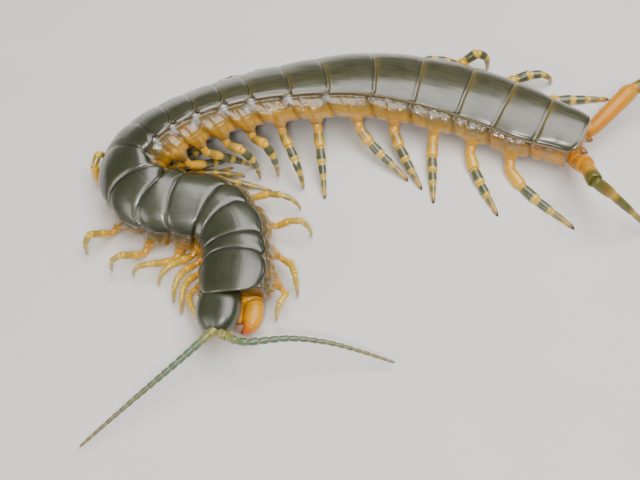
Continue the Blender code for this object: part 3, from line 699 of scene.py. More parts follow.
def skin_cuticle():
    """Wet translucent side skin: pale webs at the plates' corners with painted silver glints, amber-brown,
    yellow-orange below, painted shade in the fold creases and near black painted shade under the plates.
    """
    paint = Paint("skin_cuticle")
    height, place, fold = paint.noted("lay")
    web_glint = paint.noted("web_glint")[0]
    mottle = paint.noise(330.0, 4.0)
    fine = paint.noise(1200.0, 3.0)
    level = paint.strayed(height, mottle, 0.20)
    # Both ramps fall to near black from about the back plates' margin upwards: painted shade under and
    # between the back plates.
    side = paint.ramp(level, ((0.0, (0.20, 0.12, 0.02)), (0.12, (0.48, 0.23, 0.012)),
                              (0.26, (0.62, 0.31, 0.010)), (0.42, (0.40, 0.21, 0.016)),
                              (0.58, (0.21, 0.130, 0.030)), (0.72, (0.14, 0.105, 0.045)),
                              (0.82, (0.06, 0.045, 0.018)), (0.90, (0.010, 0.011, 0.007))))
    orange = paint.ramp(level, ((0.0, (0.38, 0.17, 0.01)), (0.45, (0.58, 0.245, 0.003)),
                                (0.72, (0.42, 0.165, 0.004)), (0.84, (0.16, 0.06, 0.01)),
                                (0.90, (0.02, 0.012, 0.008))))
    colour = paint.mix(paint.step(place, 0.90, 0.985), side, orange)
    green = paint.times(paint.step(place, 0.42, 0.18), paint.step(height, 0.25, 0.60))
    colour = paint.mix(paint.times(green, 0.6), colour, (0.075, 0.070, 0.024))
    grey = paint.times(paint.ramp(mottle, ((0.44, 0.0), (0.68, 0.5))), paint.step(height, 0.40, 0.62))
    colour = paint.mix(grey, colour, (0.20, 0.18, 0.13))
    rust = paint.times(paint.ramp(paint.noise(180.0, 2.0), ((0.56, 0.0), (0.72, 0.5))),
                      paint.step(height, 0.75, 0.60))
    colour = paint.mix(rust, colour, (0.42, 0.15, 0.02))
    # Painted highlight: silvery glints laid over the pale membrane webs between the plates' corners.
    colour = paint.mix(paint.times(web_glint, 0.9), colour, (0.40, 0.42, 0.42))
    # Painted shade: darker brown along the creases of the side folds.
    colour = paint.mix(paint.times(fold, 0.70), colour, (0.07, 0.030, 0.010))
    bumps = paint.plus(paint.times(mottle, 1.6), fine)
    bumps = paint.plus(bumps, paint.times(paint.noise(620.0, 2.0, stretch=(1.0, 1.0, 0.5)), 1.4))
    normal = paint.bump(bumps, 0.00013, 1.0)
    rough = paint.step(fine, 0.35, 0.65, 0.22, 0.36)
    return paint.finish(colour, rough, normal, Subsurface_Weight=0.15, Subsurface_Scale=0.0008,
                        Subsurface_Radius=(1.0, 0.45, 0.15), Coat_Weight=1.0, Coat_Roughness=0.08)


def leg_cuticle():
    """Yellow leg with blue-green bands on the long joints, paler rings between and a dark claw."""
    paint = Paint("leg_cuticle")
    way, strength, number = paint.noted("lay")
    mottle = paint.noise(500.0, 3.0)
    way = paint.strayed(way, mottle, 0.03)
    base = paint.ramp(way, ((0.0, (0.70, 0.34, 0.014)), (0.20, (0.76, 0.42, 0.016)),
                            (0.45, (0.74, 0.48, 0.040)), (0.72, (0.62, 0.42, 0.045)),
                            (0.92, (0.50, 0.29, 0.03)), (0.955, (0.25, 0.13, 0.03)),
                            (0.975, (0.02, 0.012, 0.008))))
    bands = paint.ramp(way, ((0.0, 0.0), (0.31, 0.0), (0.34, 0.9), (0.455, 1.0), (0.485, 0.0), (0.535, 0.0),
                             (0.56, 1.0), (0.655, 0.95), (0.685, 0.0), (0.725, 0.0), (0.75, 0.75),
                             (0.82, 0.65), (0.86, 0.0)))
    early = paint.ramp(way, ((0.0, 0.0), (0.10, 0.0), (0.13, 0.7), (0.20, 0.5), (0.25, 0.0)))
    early = paint.times(early, paint.times(paint.step(number, 0.50, 0.56), paint.step(number, 0.92, 0.88)))
    bands = paint.times(paint.math("MAXIMUM", bands, early), strength)
    teal = paint.mix(mottle, (0.036, 0.062, 0.042), (0.095, 0.115, 0.055))
    colour = paint.mix(bands, base, teal)
    spots = paint.ramp(mottle, ((0.60, 0.0), (0.72, 0.35)))
    colour = paint.mix(spots, colour, (0.30, 0.16, 0.03))
    normal = paint.bump(paint.noise(1700.0, 3.0), 0.00008, 0.5)
    rough = paint.step(mottle, 0.3, 0.7, 0.22, 0.34)
    return paint.finish(colour, rough, normal, Subsurface_Weight=0.1, Subsurface_Scale=0.0006,
                        Subsurface_Radius=(1.0, 0.6, 0.2), Coat_Weight=1.0, Coat_Roughness=0.10)


def antenna_cuticle():
    """Blue-green feeler joints with pale rings, yellowish at the root and olive tan towards the tip."""
    paint = Paint("antenna_cuticle")
    way, part = paint.noted("lay")[:2]
    mottle = paint.noise(900.0, 3.0)
    base = paint.ramp(way, ((0.0, (0.30, 0.26, 0.05)), (0.06, (0.15, 0.20, 0.065)),
                            (0.14, (0.090, 0.160, 0.095)), (0.50, (0.120, 0.155, 0.070)),
                            (0.75, (0.19, 0.165, 0.062)), (1.0, (0.26, 0.18, 0.065))))
    ring = paint.ramp(part, ((0.0, 1.0), (0.08, 0.6), (0.18, 0.0), (0.86, 0.0), (0.94, 0.85), (1.0, 1.0)))
    colour = paint.mix(paint.times(ring, 0.6), base, (0.34, 0.31, 0.13))
    colour = paint.mix(paint.ramp(mottle, ((0.5, 0.0), (0.75, 0.5))), colour, (0.045, 0.065, 0.032))
    normal = paint.bump(paint.noise(3600.0, 2.0), 0.00006, 0.7)
    rough = paint.step(mottle, 0.3, 0.7, 0.28, 0.42)
    return paint.finish(colour, rough, normal, Subsurface_Weight=0.15, Subsurface_Scale=0.0006,
                        Subsurface_Radius=(0.7, 0.8, 0.4), Coat_Weight=0.6, Coat_Roughness=0.15)


def orange_cuticle(name, stops):
    """Vivid orange hard cuticle whose colour runs along the piece."""
    paint = Paint(name)
    way = paint.noted("lay")[0]
    mottle = paint.noise(420.0, 3.0)
    way = paint.strayed(way, mottle, 0.03)
    colour = paint.ramp(way, stops)
    colour = paint.mix(paint.ramp(mottle, ((0.5, 0.0), (0.8, 0.30))), colour, (0.45, 0.12, 0.004))
    normal = paint.bump(paint.plus(mottle, paint.noise(1800.0, 3.0)), 0.00016, 0.8)
    rough = paint.step(mottle, 0.3, 0.7, 0.26, 0.42)
    return paint.finish(colour, rough, normal, Subsurface_Weight=0.1, Subsurface_Scale=0.0008,
                        Subsurface_Radius=(1.0, 0.3, 0.05), Coat_Weight=0.3, Coat_Roughness=0.08,
                        Specular_IOR_Level=0.3)


def eye_cuticle():
    """Black polished eye lens with a faint brown depth."""
    paint = Paint("eye_cuticle")
    depth = paint.noise(1500.0, 2.0)
    colour = paint.mix(depth, (0.004, 0.004, 0.005), (0.03, 0.018, 0.010))
    normal = paint.bump(depth, 0.00002, 0.3)
    rough = paint.step(depth, 0.3, 0.7, 0.06, 0.12)
    return paint.finish(colour, rough, normal, Coat_Weight=1.0, Coat_Roughness=0.04)


def arch(share):
    """Height of the back above the plate's margin, at a share of the half width."""
    return (BACK_HEIGHT - MARGIN_HEIGHT) * (1 - min(abs(share), 1.0) ** ARCH_POWER)


def denser_at_ends(t, power):
    """Spread numbers from -1 to 1 so that they crowd at both ends."""
    return math.copysign(1 - (1 - abs(t)) ** power, t)


def corner_retreat(radius, inset):
    """How far a rounded corner of this radius draws an edge back, this far in from the side."""
    depth = max(0.0, radius - inset)
    return radius - math.sqrt(max(0.0, radius * radius - depth * depth))


def rear_edge(k, v, width):
    """Place along the trunk of back plate k's rear edge, at a share v of the half width."""
    number = k + 1
    bow = between(REAR_BOWS, number) * (1 - v * v)
    retreat = corner_retreat(between(REAR_CORNERS, number), (1 - abs(v)) * width)
    rest = TRUNK_LENGTH + 0.9 if number == SEGMENTS else BORDERS[number] + 0.1
    return rest + bow - retreat


def finished_plate(thing, name, thickness, lay, edges, material):
    """Tell a plate's places to its finish, give it its thickness and close it."""
    note(thing, "lay", lay)
    note(thing, "edges", edges)
    shell = thing.modifiers.new("shell", "SOLIDIFY")
    shell.thickness = thickness
    shell.offset = -1
    shell.use_even_offset = False
    apply_modifiers(thing)
    close_and_face_out(named(thing, name))
    return settle(thing, material)


def back_plate(k, material):
    """Back plate k: domed, with a bowed rear edge over the next one, raised rims and two fine grooves."""
    number = k + 1
    length = BORDERS[k + 1] - BORDERS[k]
    rows, columns = max(22, int(length * 3.8)), 64
    bpy.ops.mesh.primitive_grid_add(x_subdivisions=rows, y_subdivisions=columns, size=2)
    thing = bpy.context.object
    lay, edges = [], []
    for vert in thing.data.vertices:
        u = (denser_at_ends(vert.co.x, 1.35) + 1) / 2
        v = denser_at_ends(vert.co.y, 1.3)
        width = half_width(clamp(BORDERS[k] + length * u, 0.0, TRUNK_LENGTH))
        if number == 1:
            width *= 1 - 0.10 * (1 - u) ** 2
        if number == SEGMENTS:
            width *= 1 - 0.16 * max(0.0, u - 0.35) ** 2
        inset = (1 - abs(v)) * width
        start = BORDERS[k] - FRONT_TUCK + corner_retreat(between(FRONT_CORNERS, number), inset)
        if number == 1:
            start -= 0.15 + 0.5 * (1 - v * v)
        end = rear_edge(k, v, width)
        s = start + (end - start) * u
        section = section_at(round(s, 2))
        side_gap, rear_gap, front_gap = inset, end - s, s - start
        free = min(side_gap, rear_gap)
        behind = front_gap if number == 1 else s - rear_edge(k - 1, v, width)
        sunk = 0.0 if number == 1 else 1 - ease(behind, -0.25, 0.75)
        dome = 0.20 * math.sin(math.pi * u) ** 0.7 + 0.10 * ease(u, 0.3, 0.8)
        dome *= between(((1, 1.2), (9, 1.2), (14, 0.7)), number)
        rise = dome - 0.40 * sunk - 0.12 * hump(rear_gap, 0.5)
        ridge = 0.09 * hump(free - 0.13, 0.11) - 0.08 * hump(free - 0.48, 0.20)
        ridge -= 0.18 * hump(min(free, front_gap), 0.08)
        groove = 0.0
        if number > 2:
            groove = -0.022 * hump((abs(v) - 0.36) * width, 0.20) * ease(behind, 0.3, 1.0)
        swell = 0.04 * noise.noise(Vector((s * 0.30, v * width * 0.25, number * 7.0)))
        swell += 0.05 * hump(abs(v) - 0.62, 0.25) * math.sin(math.pi * u)
        b = MARGIN_HEIGHT + arch(v) + rise * (1 - 0.1 * v * v) + ridge + groove + swell - 0.04
        a = v * (width + 0.04 + max(rise, 0.0) * 0.3)
        b -= 0.22 * ease(abs(v), 0.94, 1.0)
        vert.co = section.at(a, b)
        lay.append((behind, v * width, number / WALKING_LEGS))
        edges.append((behind, side_gap, rear_gap))
    return finished_plate(thing, f"tergite_{number:02d}", BACK_THICKNESS, lay, edges, material)


def belly_plate(k, material):
    """Belly plate k: flat, with rounded corners and two long grooves."""
    length = BORDERS[k + 1] - BORDERS[k]
    number = k + 1
    first, last = BORDERS[k] + BELLY_FRONT_GAP * length, BORDERS[k + 1] - BELLY_REAR_GAP * length
    bpy.ops.mesh.primitive_grid_add(x_subdivisions=max(12, int(length * 2.2)), y_subdivisions=36, size=2)
    thing = bpy.context.object
    lay, edges = [], []
    for vert in thing.data.vertices:
        u, v = (denser_at_ends(vert.co.x, 1.3) + 1) / 2, denser_at_ends(-vert.co.y, 1.25)
        width = half_width(first + (last - first) * u) * BELLY_WIDTH_SHARE
        if number == SEGMENTS:
            width *= 1 - 0.35 * u
        side_gap = (1 - abs(v)) * width
        start, end = first + corner_retreat(1.0, side_gap), last - corner_retreat(1.2, side_gap)
        s = start + (end - start) * u
        section = section_at(round(s, 2))
        rear_gap, front_gap = (1 - u) * (last - first), u * (last - first)
        free = min(side_gap, rear_gap, front_gap)
        drop = smooth_between(((0.0, -0.16), (0.15, 0.02), (0.5, 0.12), (1.0, 0.0)), u)
        groove = 0.09 * hump((abs(v) - 0.42) * width, 0.15)
        edge = 0.18 * hump(free, 0.16)
        swell = 0.04 * noise.noise(Vector((s * 0.4, v * width * 0.4, number * 3.0)))
        b = BELLY_HEIGHT - 0.16 * (1 - v * v) - drop + groove + edge + swell
        vert.co = section.at(v * width, b)
        lay.append((front_gap, v * width, number / WALKING_LEGS))
        edges.append((front_gap + 2.0, side_gap, rear_gap))
    return finished_plate(thing, f"sternite_{number:02d}", BELLY_THICKNESS, lay, edges, material)


class Coxa:
    """Stump of one walking leg: its root, its way out and the flat face the leg starts from."""

    def __init__(self, number, side):
        """side is 1 on the left and -1 on the right."""
        s = BORDERS[number - 1] + (BORDERS[number] - BORDERS[number - 1]) * COXA_PLACE
        s += COXA_SHIFTS.get((number, side), 0.0)
        section = Section(s)
        self.radius = COXA_RADIUS * between(LEG_SCALES, number)
        lift = section.roll * side
        slope = -30 + (0.8 * -lift if lift < 0 else -0.6 * lift)
        a, height = half_width(s) + 0.4, COXA_HEIGHT
        share = INNER_SHARES[side]
        if section.bend * side > share / a:
            a = share / abs(section.bend)
            height -= INNER_DROP if side == 1 else 0.0
        self.root = section.place + section.left * a * side + section.up * height
        feet = LEFT_FEET if side == 1 else RIGHT_FEET
        level = (section.left * side).xy.normalized()
        to_foot = (Vector(feet[number - 1]) - self.root.xy).normalized()
        level = (level + to_foot * COXA_SWING).normalized()
        angle = math.radians(slope)
        self.way = Vector((*level, 0.0)) * math.cos(angle) + UP * math.sin(angle)
        self.face = self.root + self.way * (COXA_REACH + max(0.0, -lift) * LOW_SIDE_REACH)


def ultimate_socket(side):
    """Centre and way out of the flat face that an ultimate leg starts from."""
    section = Section(TRUNK_LENGTH)
    angle = math.radians(TAIL_SOCKET_TURN)
    way = section.left * side * math.sin(angle) - section.forward * math.cos(angle)
    return section.at(TAIL_SOCKET_OUT * side, TAIL_SOCKET_HEIGHT, -TAIL_SOCKET_BACK), way


# Half outline of the side skin, from the middle of the back to the middle of the belly.
# Each row: share of the half width, a way further out, a share of the bulge, and the height.
SKIN_OUTLINE = (
    (0.0, 0.0, 0.0, 4.05),
    (0.30, 0.0, 0.0, 3.95),
    (0.60, 0.0, 0.0, 3.45),
    (0.84, 0.0, 0.0, 2.62),
    (1.0, -0.30, 0.0, 1.95),
    (1.0, -0.62, 0.1, 1.30),
    (1.0, -0.10, 0.6, 0.75),
    (1.0, 0.20, 1.2, -0.20),
    (1.0, 0.15, 1.9, -1.50),
    (1.0, 0.05, 1.8, -2.80),
    (1.0, -0.20, 1.2, -3.90),
    (0.88, 0.0, 0.2, -4.75),
    (0.72, 0.0, 0.0, -5.15),
    (0.40, 0.0, 0.0, -5.30),
    (0.0, 0.0, 0.0, -5.33),
)
SKIN_ROUND = 96
SKIN_ALONG = 620
SKIN_STOPS = 500
SKIN_BLOCK = 4000
STUMP_ROWS = ((0.0, 2.0), (0.30, 1.95), (0.50, 1.66), (0.66, 1.36), (0.80, 1.16), (0.92, 1.06), (1.0, 0.92))
NUB_ROWS = ((0.0, 1.0), (0.45, 0.98), (0.68, 0.86), (0.85, 0.64), (0.95, 0.36), (1.0, 0.08))


def leaned(segment, f, height):
    """Fraction of a segment's length, with the side folds leaning forwards at their top where they crowd."""
    lean = np.interp(segment, LEAN_STOPS, LEANS)
    return (f + lean * (np.clip(height, -4.0, 1.5) + 1.5) / 3.0) % 1.0


def skin_point(section, s, turn):
    """Point of the side skin at s, with turn from 0 at the back's middle round by the left to 1."""
    side = 1 if turn <= 0.5 else -1
    share = min(turn, 1 - turn) * 2 * (len(SKIN_OUTLINE) - 1)
    width = half_width(s)
    segment = segment_of(s) - 0.5
    k = min(int(segment), SEGMENTS - 1)
    f = segment - k
    length = BORDERS[k + 1] - BORDERS[k]
    bulge = between(BULGE_SHARES, segment_of(s))
    b = smooth_between([(i, row[3]) for i, row in enumerate(SKIN_OUTLINE)], share)
    fold_f = float(leaned(segment, f, b))
    bulge *= between(((0.0, 0.66), (0.12, 0.90), (0.5, 1.08), (0.85, 0.94), (1.0, 0.66)), fold_f)
    outs = [(i, row[0] * width + row[1] + row[2] * bulge) for i, row in enumerate(SKIN_OUTLINE)]
    a = smooth_between(outs, share)
    flank = ease(share, 4.6, 6.0) * (1 - ease(share, 10.2, 11.6))
    border = min(f, 1 - f) * length
    deep = between(FOLD_DEPTHS, segment)
    fold = 0.78 * deep * hump(min(fold_f, 1 - fold_f) * length, 0.48)
    fold += 0.42 * deep * hump((fold_f - MIDDLE_FOLD) * length, 0.36)
    fold += 0.22 * hump((fold_f - REAR_FOLD) * length, 0.34)
    fold += 0.22 * hump(b + 0.55 + 0.5 * math.sin(f * math.pi), 0.34)
    wrinkle = noise.noise(Vector((s * 0.8, b * 0.7, side * 9.0))) * 0.16
    wrinkle += noise.noise(Vector((s * 1.8, b * 1.3, side * 5.0))) * 0.06
    a += flank * (wrinkle - fold + 0.12)
    b += -0.28 * hump(border, 0.5) * (1 - flank) * (1 if b > 0 else -0.6)
    return section.at(a * side, b)


def body_skin(material):
    """One skin over all the trunk, with the stumps that the legs start from grown into it."""
    bpy.ops.mesh.primitive_grid_add(x_subdivisions=SKIN_ALONG, y_subdivisions=SKIN_ROUND, size=2)
    tube = bpy.context.object
    for vert in tube.data.vertices:
        s = (vert.co.x + 1) / 2 * TRUNK_LENGTH
        vert.co = skin_point(section_at(s), s, (vert.co.y + 1) / 2)
    select_only(tube)
    bpy.ops.object.mode_set(mode="EDIT")
    bpy.ops.mesh.select_all(action="SELECT")
    bpy.ops.mesh.remove_doubles(threshold=0.002)
    bpy.ops.mesh.select_all(action="DESELECT")
    bpy.ops.mesh.select_non_manifold(extend=False, use_wire=False, use_multi_face=False,
                                     use_non_contiguous=False, use_verts=False)
    bpy.ops.mesh.edge_face_add()
    bpy.ops.mesh.select_all(action="SELECT")
    bpy.ops.mesh.normals_make_consistent(inside=False)
    bpy.ops.object.mode_set(mode="OBJECT")
    stump = turned("stump", STUMP_ROWS, 20)
    nub = turned("nub", NUB_ROWS, 20)
    parts = [tube]
    for number in range(1, WALKING_LEGS + 1):
        for side in (1, -1):
            coxa = Coxa(number, side)
            start = coxa.root - coxa.way * COXA_ROOT_DEPTH
            length = (coxa.face - start).length + 0.15
            size = Matrix.Diagonal((coxa.radius, coxa.radius, length, 1.0))
            parts.append(placed_copy(stump, frame_along(start, coxa.face) @ size))
    for side in (1, -1):
        face, way = ultimate_socket(side)
        size = Matrix.Diagonal((*TAIL_STUMP_SIZE, 1.0))
        parts.append(placed_copy(stump, frame_along(face - way * TAIL_STUMP_DEPTH, face) @ size))
        section = Section(TRUNK_LENGTH)
        for (a, b, ahead), (tip_a, tip_b, tip_ahead), size in TAIL_NUBS:
            root, tip = section.at(a * side, b, ahead), section.at(tip_a * side, tip_b, tip_ahead)
            parts.append(placed_copy(nub, frame_along(root, tip) @ Matrix.Diagonal((*size, 1.0))))
    for model in (stump, nub):
        bpy.data.objects.remove(model)
    skin = join_all("body_skin", parts)
    merge = skin.modifiers.new("merge", "REMESH")
    merge.mode = "VOXEL"
    merge.voxel_size = SKIN_GRAIN
    merge.use_smooth_shade = True
    calm = skin.modifiers.new("calm", "SMOOTH")
    calm.factor = 0.5
    calm.iterations = 4
    apply_modifiers(skin)
    keep_in_box(skin)
    note_skin(skin)
    return settle(skin, material, [f"trunk_{i}" for i in range(1, 8)], 80)


def note_skin(skin):
    """Tell each point of the skin its height on the side, its place along the trunk, how deep it lies in a
    fold's crease for the painted crease shade, and its share of painted glint on the webs.
    """
    count = len(skin.data.vertices)
    points = np.zeros(count * 3)
    skin.data.vertices.foreach_get("co", points)
    points = points.reshape(-1, 3)
    stops = np.linspace(0.0, TRUNK_LENGTH, SKIN_STOPS)
    sections = [Section(s) for s in stops]
    places = np.array([section.place for section in sections])
    ups = np.array([section.up for section in sections])
    nearest = np.zeros(count, int)
    for start in range(0, count, SKIN_BLOCK):
        part = points[start:start + SKIN_BLOCK]
        gaps = ((part[:, None, :] - places[None, :, :]) ** 2).sum(2)
        nearest[start:start + SKIN_BLOCK] = gaps.argmin(1)
    heights = ((points - places[nearest]) * ups[nearest]).sum(1)
    segments = np.array([segment_of(s) - 0.5 for s in stops])
    fraction = segments % 1.0
    indices = [min(int(x), SEGMENTS - 1) for x in segments]
    lengths = np.array([BORDERS[k + 1] - BORDERS[k] for k in indices])
    level = (heights + 5.5) / 10.0
    folds = leaned(segments[nearest], fraction[nearest], heights)
    # crease_shade: how deep in a fold's crease a point lies, read only to paint shade into the creases.
    crease_shade = np.exp(-(np.minimum(folds, 1 - folds) * lengths[nearest] / 0.36) ** 2)
    crease_shade += 0.45 * np.exp(-((folds - MIDDLE_FOLD) * lengths[nearest] / 0.30) ** 2)
    note(skin, "lay", np.stack([level, stops[nearest] / TRUNK_LENGTH, crease_shade], 1).tolist())
    # web_glint: share of the painted silvery glint on the pale membrane webs between the plates' corners.
    reach = 0.45 + np.clip((0.80 - level) / 0.28, 0.0, 1.0) * 2.4
    before = ((1 - fraction) * lengths)[nearest]
    web_glint = np.clip(1 - (before - reach) / 0.30, 0.0, 1.0) * np.clip((level - 0.50) / 0.10, 0.0, 1.0)
    web_glint *= np.clip((segments[nearest] - 6.5) / 1.5, 0.0, 1.0)
    web_glint *= np.clip((16.0 - segments[nearest]) / 2.0, 0.0, 1.0)
    note(skin, "web_glint", [(share, 0.0, 0.0) for share in web_glint.tolist()])


# Outlines of the leg joints: way along and share of the radius
ARTICLE_ROWS = {
    "trochanter": ((-0.10, 0.70), (0.05, 0.92), (0.30, 1.00), (0.75, 1.00), (1.0, 0.94), (1.06, 0.80),
                   (1.0, 0.6)),
    "thigh": ((-0.08, 0.56), (-0.04, 0.76), (0.02, 0.84), (0.14, 0.90), (0.38, 0.97), (0.62, 1.02),
              (0.82, 1.05), (0.92, 1.05), (0.98, 0.99), (1.01, 0.88), (0.985, 0.66)),
    "shin": ((-0.08, 0.62), (-0.04, 0.82), (0.03, 0.92), (0.18, 0.97), (0.45, 1.00), (0.75, 0.96),
             (0.92, 0.92), (0.98, 0.86), (1.01, 0.74), (0.985, 0.58)),
    "foot": ((-0.08, 0.68), (-0.04, 0.86), (0.05, 0.96), (0.25, 1.00), (0.60, 0.94), (0.90, 0.83),
             (0.98, 0.77), (1.01, 0.66), (0.985, 0.52)),
    "claw": ((-0.08, 0.70), (0.0, 1.00), (0.22, 0.95), (0.5, 0.62), (0.8, 0.30), (1.0, 0.06)),
}
ARTICLES = {name: turned(name, rows, 16) for name, rows in ARTICLE_ROWS.items()}
SPUR = turned("spur", ((0.0, 1.0), (0.35, 0.72), (0.75, 0.34), (1.0, 0.06)), 8)


def article_copy(kind, a, b, radius, shares, strength, number):
    """One leg joint laid from a to b, told its place along the leg."""
    length = (b - a).length
    copy = placed_copy(ARTICLES[kind], Matrix.Identity(4))
    heights = heights_of(copy)
    low, high = shares
    if kind == "claw":
        for vert in copy.data.vertices:
            vert.co.y -= CLAW_HOOK * max(0.0, vert.co.z) ** 2 * length / radius
    copy.data.transform(frame_along(a, b) @ Matrix.Diagonal((radius, radius, length, 1.0)))
    note(copy, "lay", [(low + (high - low) * z, strength, number) for z in heights])
    return copy


def spur_copy(root, tip, radius, share, strength, number):
    """A small pointed spine, told its place along the leg."""
    size = Matrix.Diagonal((radius, radius, (tip - root).length, 1.0))
    copy = placed_copy(SPUR, frame_along(root, tip) @ size)
    note(copy, "lay", [(share, strength, number)] * len(copy.data.vertices))
    return copy


def keep_in_box(thing):
    """Flatten what would reach below the floor or beyond the sides of the solids' box."""
    low, high = (Vector(corner) / MM - FRAME_SHIFT for corner in cad_box)
    for vert in thing.data.vertices:
        for i in range(3):
            vert.co[i] = clamp(vert.co[i], low[i], high[i])


def leg_points(start, way, foot, length, bow=LEG_BOW):
    """Points along a leg's middle line, arched so that it has the wanted length."""
    foot = foot.copy()
    foot.z = 0.1
    back = start - foot
    back.z = 0.0
    reach = back.length
    back.normalize()

    def path(arch_height):
        c1 = start + way * (reach * bow + arch_height * 0.25) + UP * arch_height * 0.3
        c2 = foot + back * reach * 0.15 + UP * (start.z * 0.3 + arch_height)
        line = []
        for k in range(LEG_LINE_STEPS + 1):
            t = k / LEG_LINE_STEPS
            line.append(start * (1 - t) ** 3 + c1 * 3 * t * (1 - t) ** 2
                        + c2 * 3 * t * t * (1 - t) + foot * t ** 3)
        return line

    low, high = 0.0, ARCH_LIMIT
    for halving in range(ARCH_HALVINGS):
        middle = (low + high) / 2
        if way_along(path(middle))[-1] < length:
            low = middle
        else:
            high = middle
    return path(low)


def walking_leg(number, side, material):
    """One walking leg of seven joints, with a spur at each end of the foot and two at the claw."""
    coxa = Coxa(number, side)
    start = coxa.face + coxa.way * GAP
    feet = LEFT_FEET if side == 1 else RIGHT_FEET
    foot = Vector((*feet[number - 1], 0.0))
    bow = CLOSE_BOW if side == -1 and number in CLOSE_LEGS else LEG_BOW
    line = leg_points(start, coxa.way, foot, between(LEG_LENGTHS, number), bow)
    scale = between(LEG_SCALES, number)
    stout = scale * between(LEG_STOUTNESS, number)
    strength = between(BAND_STRENGTHS[side], number)
    joints = [along(line, low) for kind, low, high, radius in LEG_ARTICLES] + [line[-1]]
    joints[1] = start + coxa.way * (joints[1] - start).length
    joints[0] = coxa.face - coxa.way * 0.1
    parts = []
    for i, (kind, low, high, radius) in enumerate(LEG_ARTICLES):
        parts.append(article_copy(kind, joints[i], joints[i + 1], radius * stout, (low, high), strength,
                                  number / WALKING_LEGS))
    for i, spread in ((5, 0.0), (6, 0.5), (6, -0.5)):
        place = frame_along(joints[i], joints[i + 1])
        size = LEG_ARTICLES[i - 1][3] * scale * 0.7
        root = place @ Vector((spread * size * 0.8, -size * 0.55, -0.15))
        tip = place @ Vector((spread * size * 1.8, -size * 1.35, 0.75 * scale))
        parts.append(spur_copy(root, tip, 0.14 * scale, 0.965, strength, number / WALKING_LEGS))
    name = f"leg_{SIDES[side]}_{number:02d}"
    leg = join_all(name + "_cuticle", parts)
    keep_in_box(leg)
    return settle(leg, material, [name], 50)


def ultimate_leg(side, material):
    """One ultimate leg: a thick spined first joint and five slimmer ones down to the claw."""
    face, way = ultimate_socket(side)
    joints = [face + way * TROCHANTER_LENGTH] + [Vector(point) for point in ULTIMATE_POINTS[side]]
    lengths = way_along(joints)
    shares = [0.08 + 0.92 * x / lengths[-1] for x in lengths]
    parts = [article_copy("trochanter", face - way * 0.2, joints[0], 1.85, (0.0, 0.08), 1.0, 1.0)]
    for i, (kind, radius) in enumerate(ULTIMATE_ARTICLES):
        parts.append(article_copy(kind, joints[i], joints[i + 1], radius, shares[i:i + 2], 1.0, 1.0))
    first = joints[1] - joints[0]
    across = first.cross(UP).normalized()
    over = across.cross(first).normalized()
    for share, turn in ULTIMATE_SPINES:
        angle = math.radians(turn)
        out = across * math.cos(angle) * side + over * math.sin(angle)
        middle = joints[0] + first * share
        radius = ULTIMATE_ARTICLES[0][1]
        tip = middle + out * (radius + 0.40) + first.normalized() * 0.5
        parts.append(spur_copy(middle + out * radius * 0.8, tip, 0.30, shares[0] + share * 0.05, 1.0, 1.0))
    name = f"ultimate_leg_{SIDES[side]}"
    leg = join_all(name + "_cuticle", parts)
    keep_in_box(leg)
    return settle(leg, material, [name], 50)


def antenna(side, material):
    """One feeler of ringed joints that taper to the tip."""
    points = ANTENNA_POINTS[side]
    face = Vector(points[0])
    way = (Vector(points[1]) - face).normalized()
    ending = 2 * Vector(points[-1]) - Vector(points[-2])
    line = line_through([face - way * 2.0, *points, ending], 24)
    barrel = turned("barrel", ((-0.06, 0.60), (0.0, 0.74), (0.08, 0.86), (0.30, 0.97), (0.62, 1.04),
                               (0.86, 1.05), (0.95, 0.97), (1.0, 0.84), (1.01, 0.70), (0.97, 0.55)), 16)
    parts = []
    for k in range(ANTENNA_ARTICLES):
        low, high = (k / ANTENNA_ARTICLES) ** 0.92, ((k + 1) / ANTENNA_ARTICLES) ** 0.92
        a, b = along(line, low), along(line, high)
        if k == 0:
            a = face - way * 0.15
        radius = ANTENNA_BASE_RADIUS + (ANTENNA_TIP_RADIUS - ANTENNA_BASE_RADIUS) * (low + high) / 2
        size = Matrix.Diagonal((radius, radius, (b - a).length, 1.0))
        copy = placed_copy(barrel, Matrix.Identity(4))
        heights = heights_of(copy)
        if k == ANTENNA_ARTICLES - 1:
            for vert in copy.data.vertices:
                thin = 1 - 0.55 * max(0.0, vert.co.z) ** 3
                vert.co.x *= thin
                vert.co.y *= thin
        copy.data.transform(frame_along(a, b) @ size)
        note(copy, "lay", [(low + (high - low) * z, clamp(z, 0.0, 1.0), 0.0) for z in heights])
        parts.append(copy)
    bpy.data.objects.remove(barrel)
    name = f"antenna_{SIDES[side]}"
    piece = join_all(name + "_cuticle", parts)
    return settle(piece, material, [name], 50)


class FrontFrame:
    """Frame at the front of the first back plate, for the head and the forcipules."""

    def __init__(self, shift=0.0, yaw=0.0):
        base = Section(0.0)
        turn = Matrix.Rotation(math.radians(-yaw), 3, base.up)
        self.forward = turn @ base.forward
        self.left = turn @ base.left
        self.up = base.up
        self.place = base.place + base.left * shift

    def at(self, ahead, a, b):
        """World place, told by way forward, way left and way up."""
        return self.place + self.forward * ahead + self.left * a + self.up * b


HEAD_FRAME = FrontFrame(HEAD_SHIFT, HEAD_YAW)


def unrolled(point):
    """A unit ball's point: its ring's radius, its way across and up in the ring, its share of the length."""
    x, y, z = point
    ring = max(math.hypot(x, y), 1e-6)
    return ring, x / ring, y / ring, 1 - math.acos(clamp(z, -1.0, 1.0)) / math.pi


def columns_of(rows):
    """Tables of half width, top and bottom against the way forward, from rows of all four."""
    return [[(row[0], row[i]) for row in rows] for i in (1, 2, 3)]


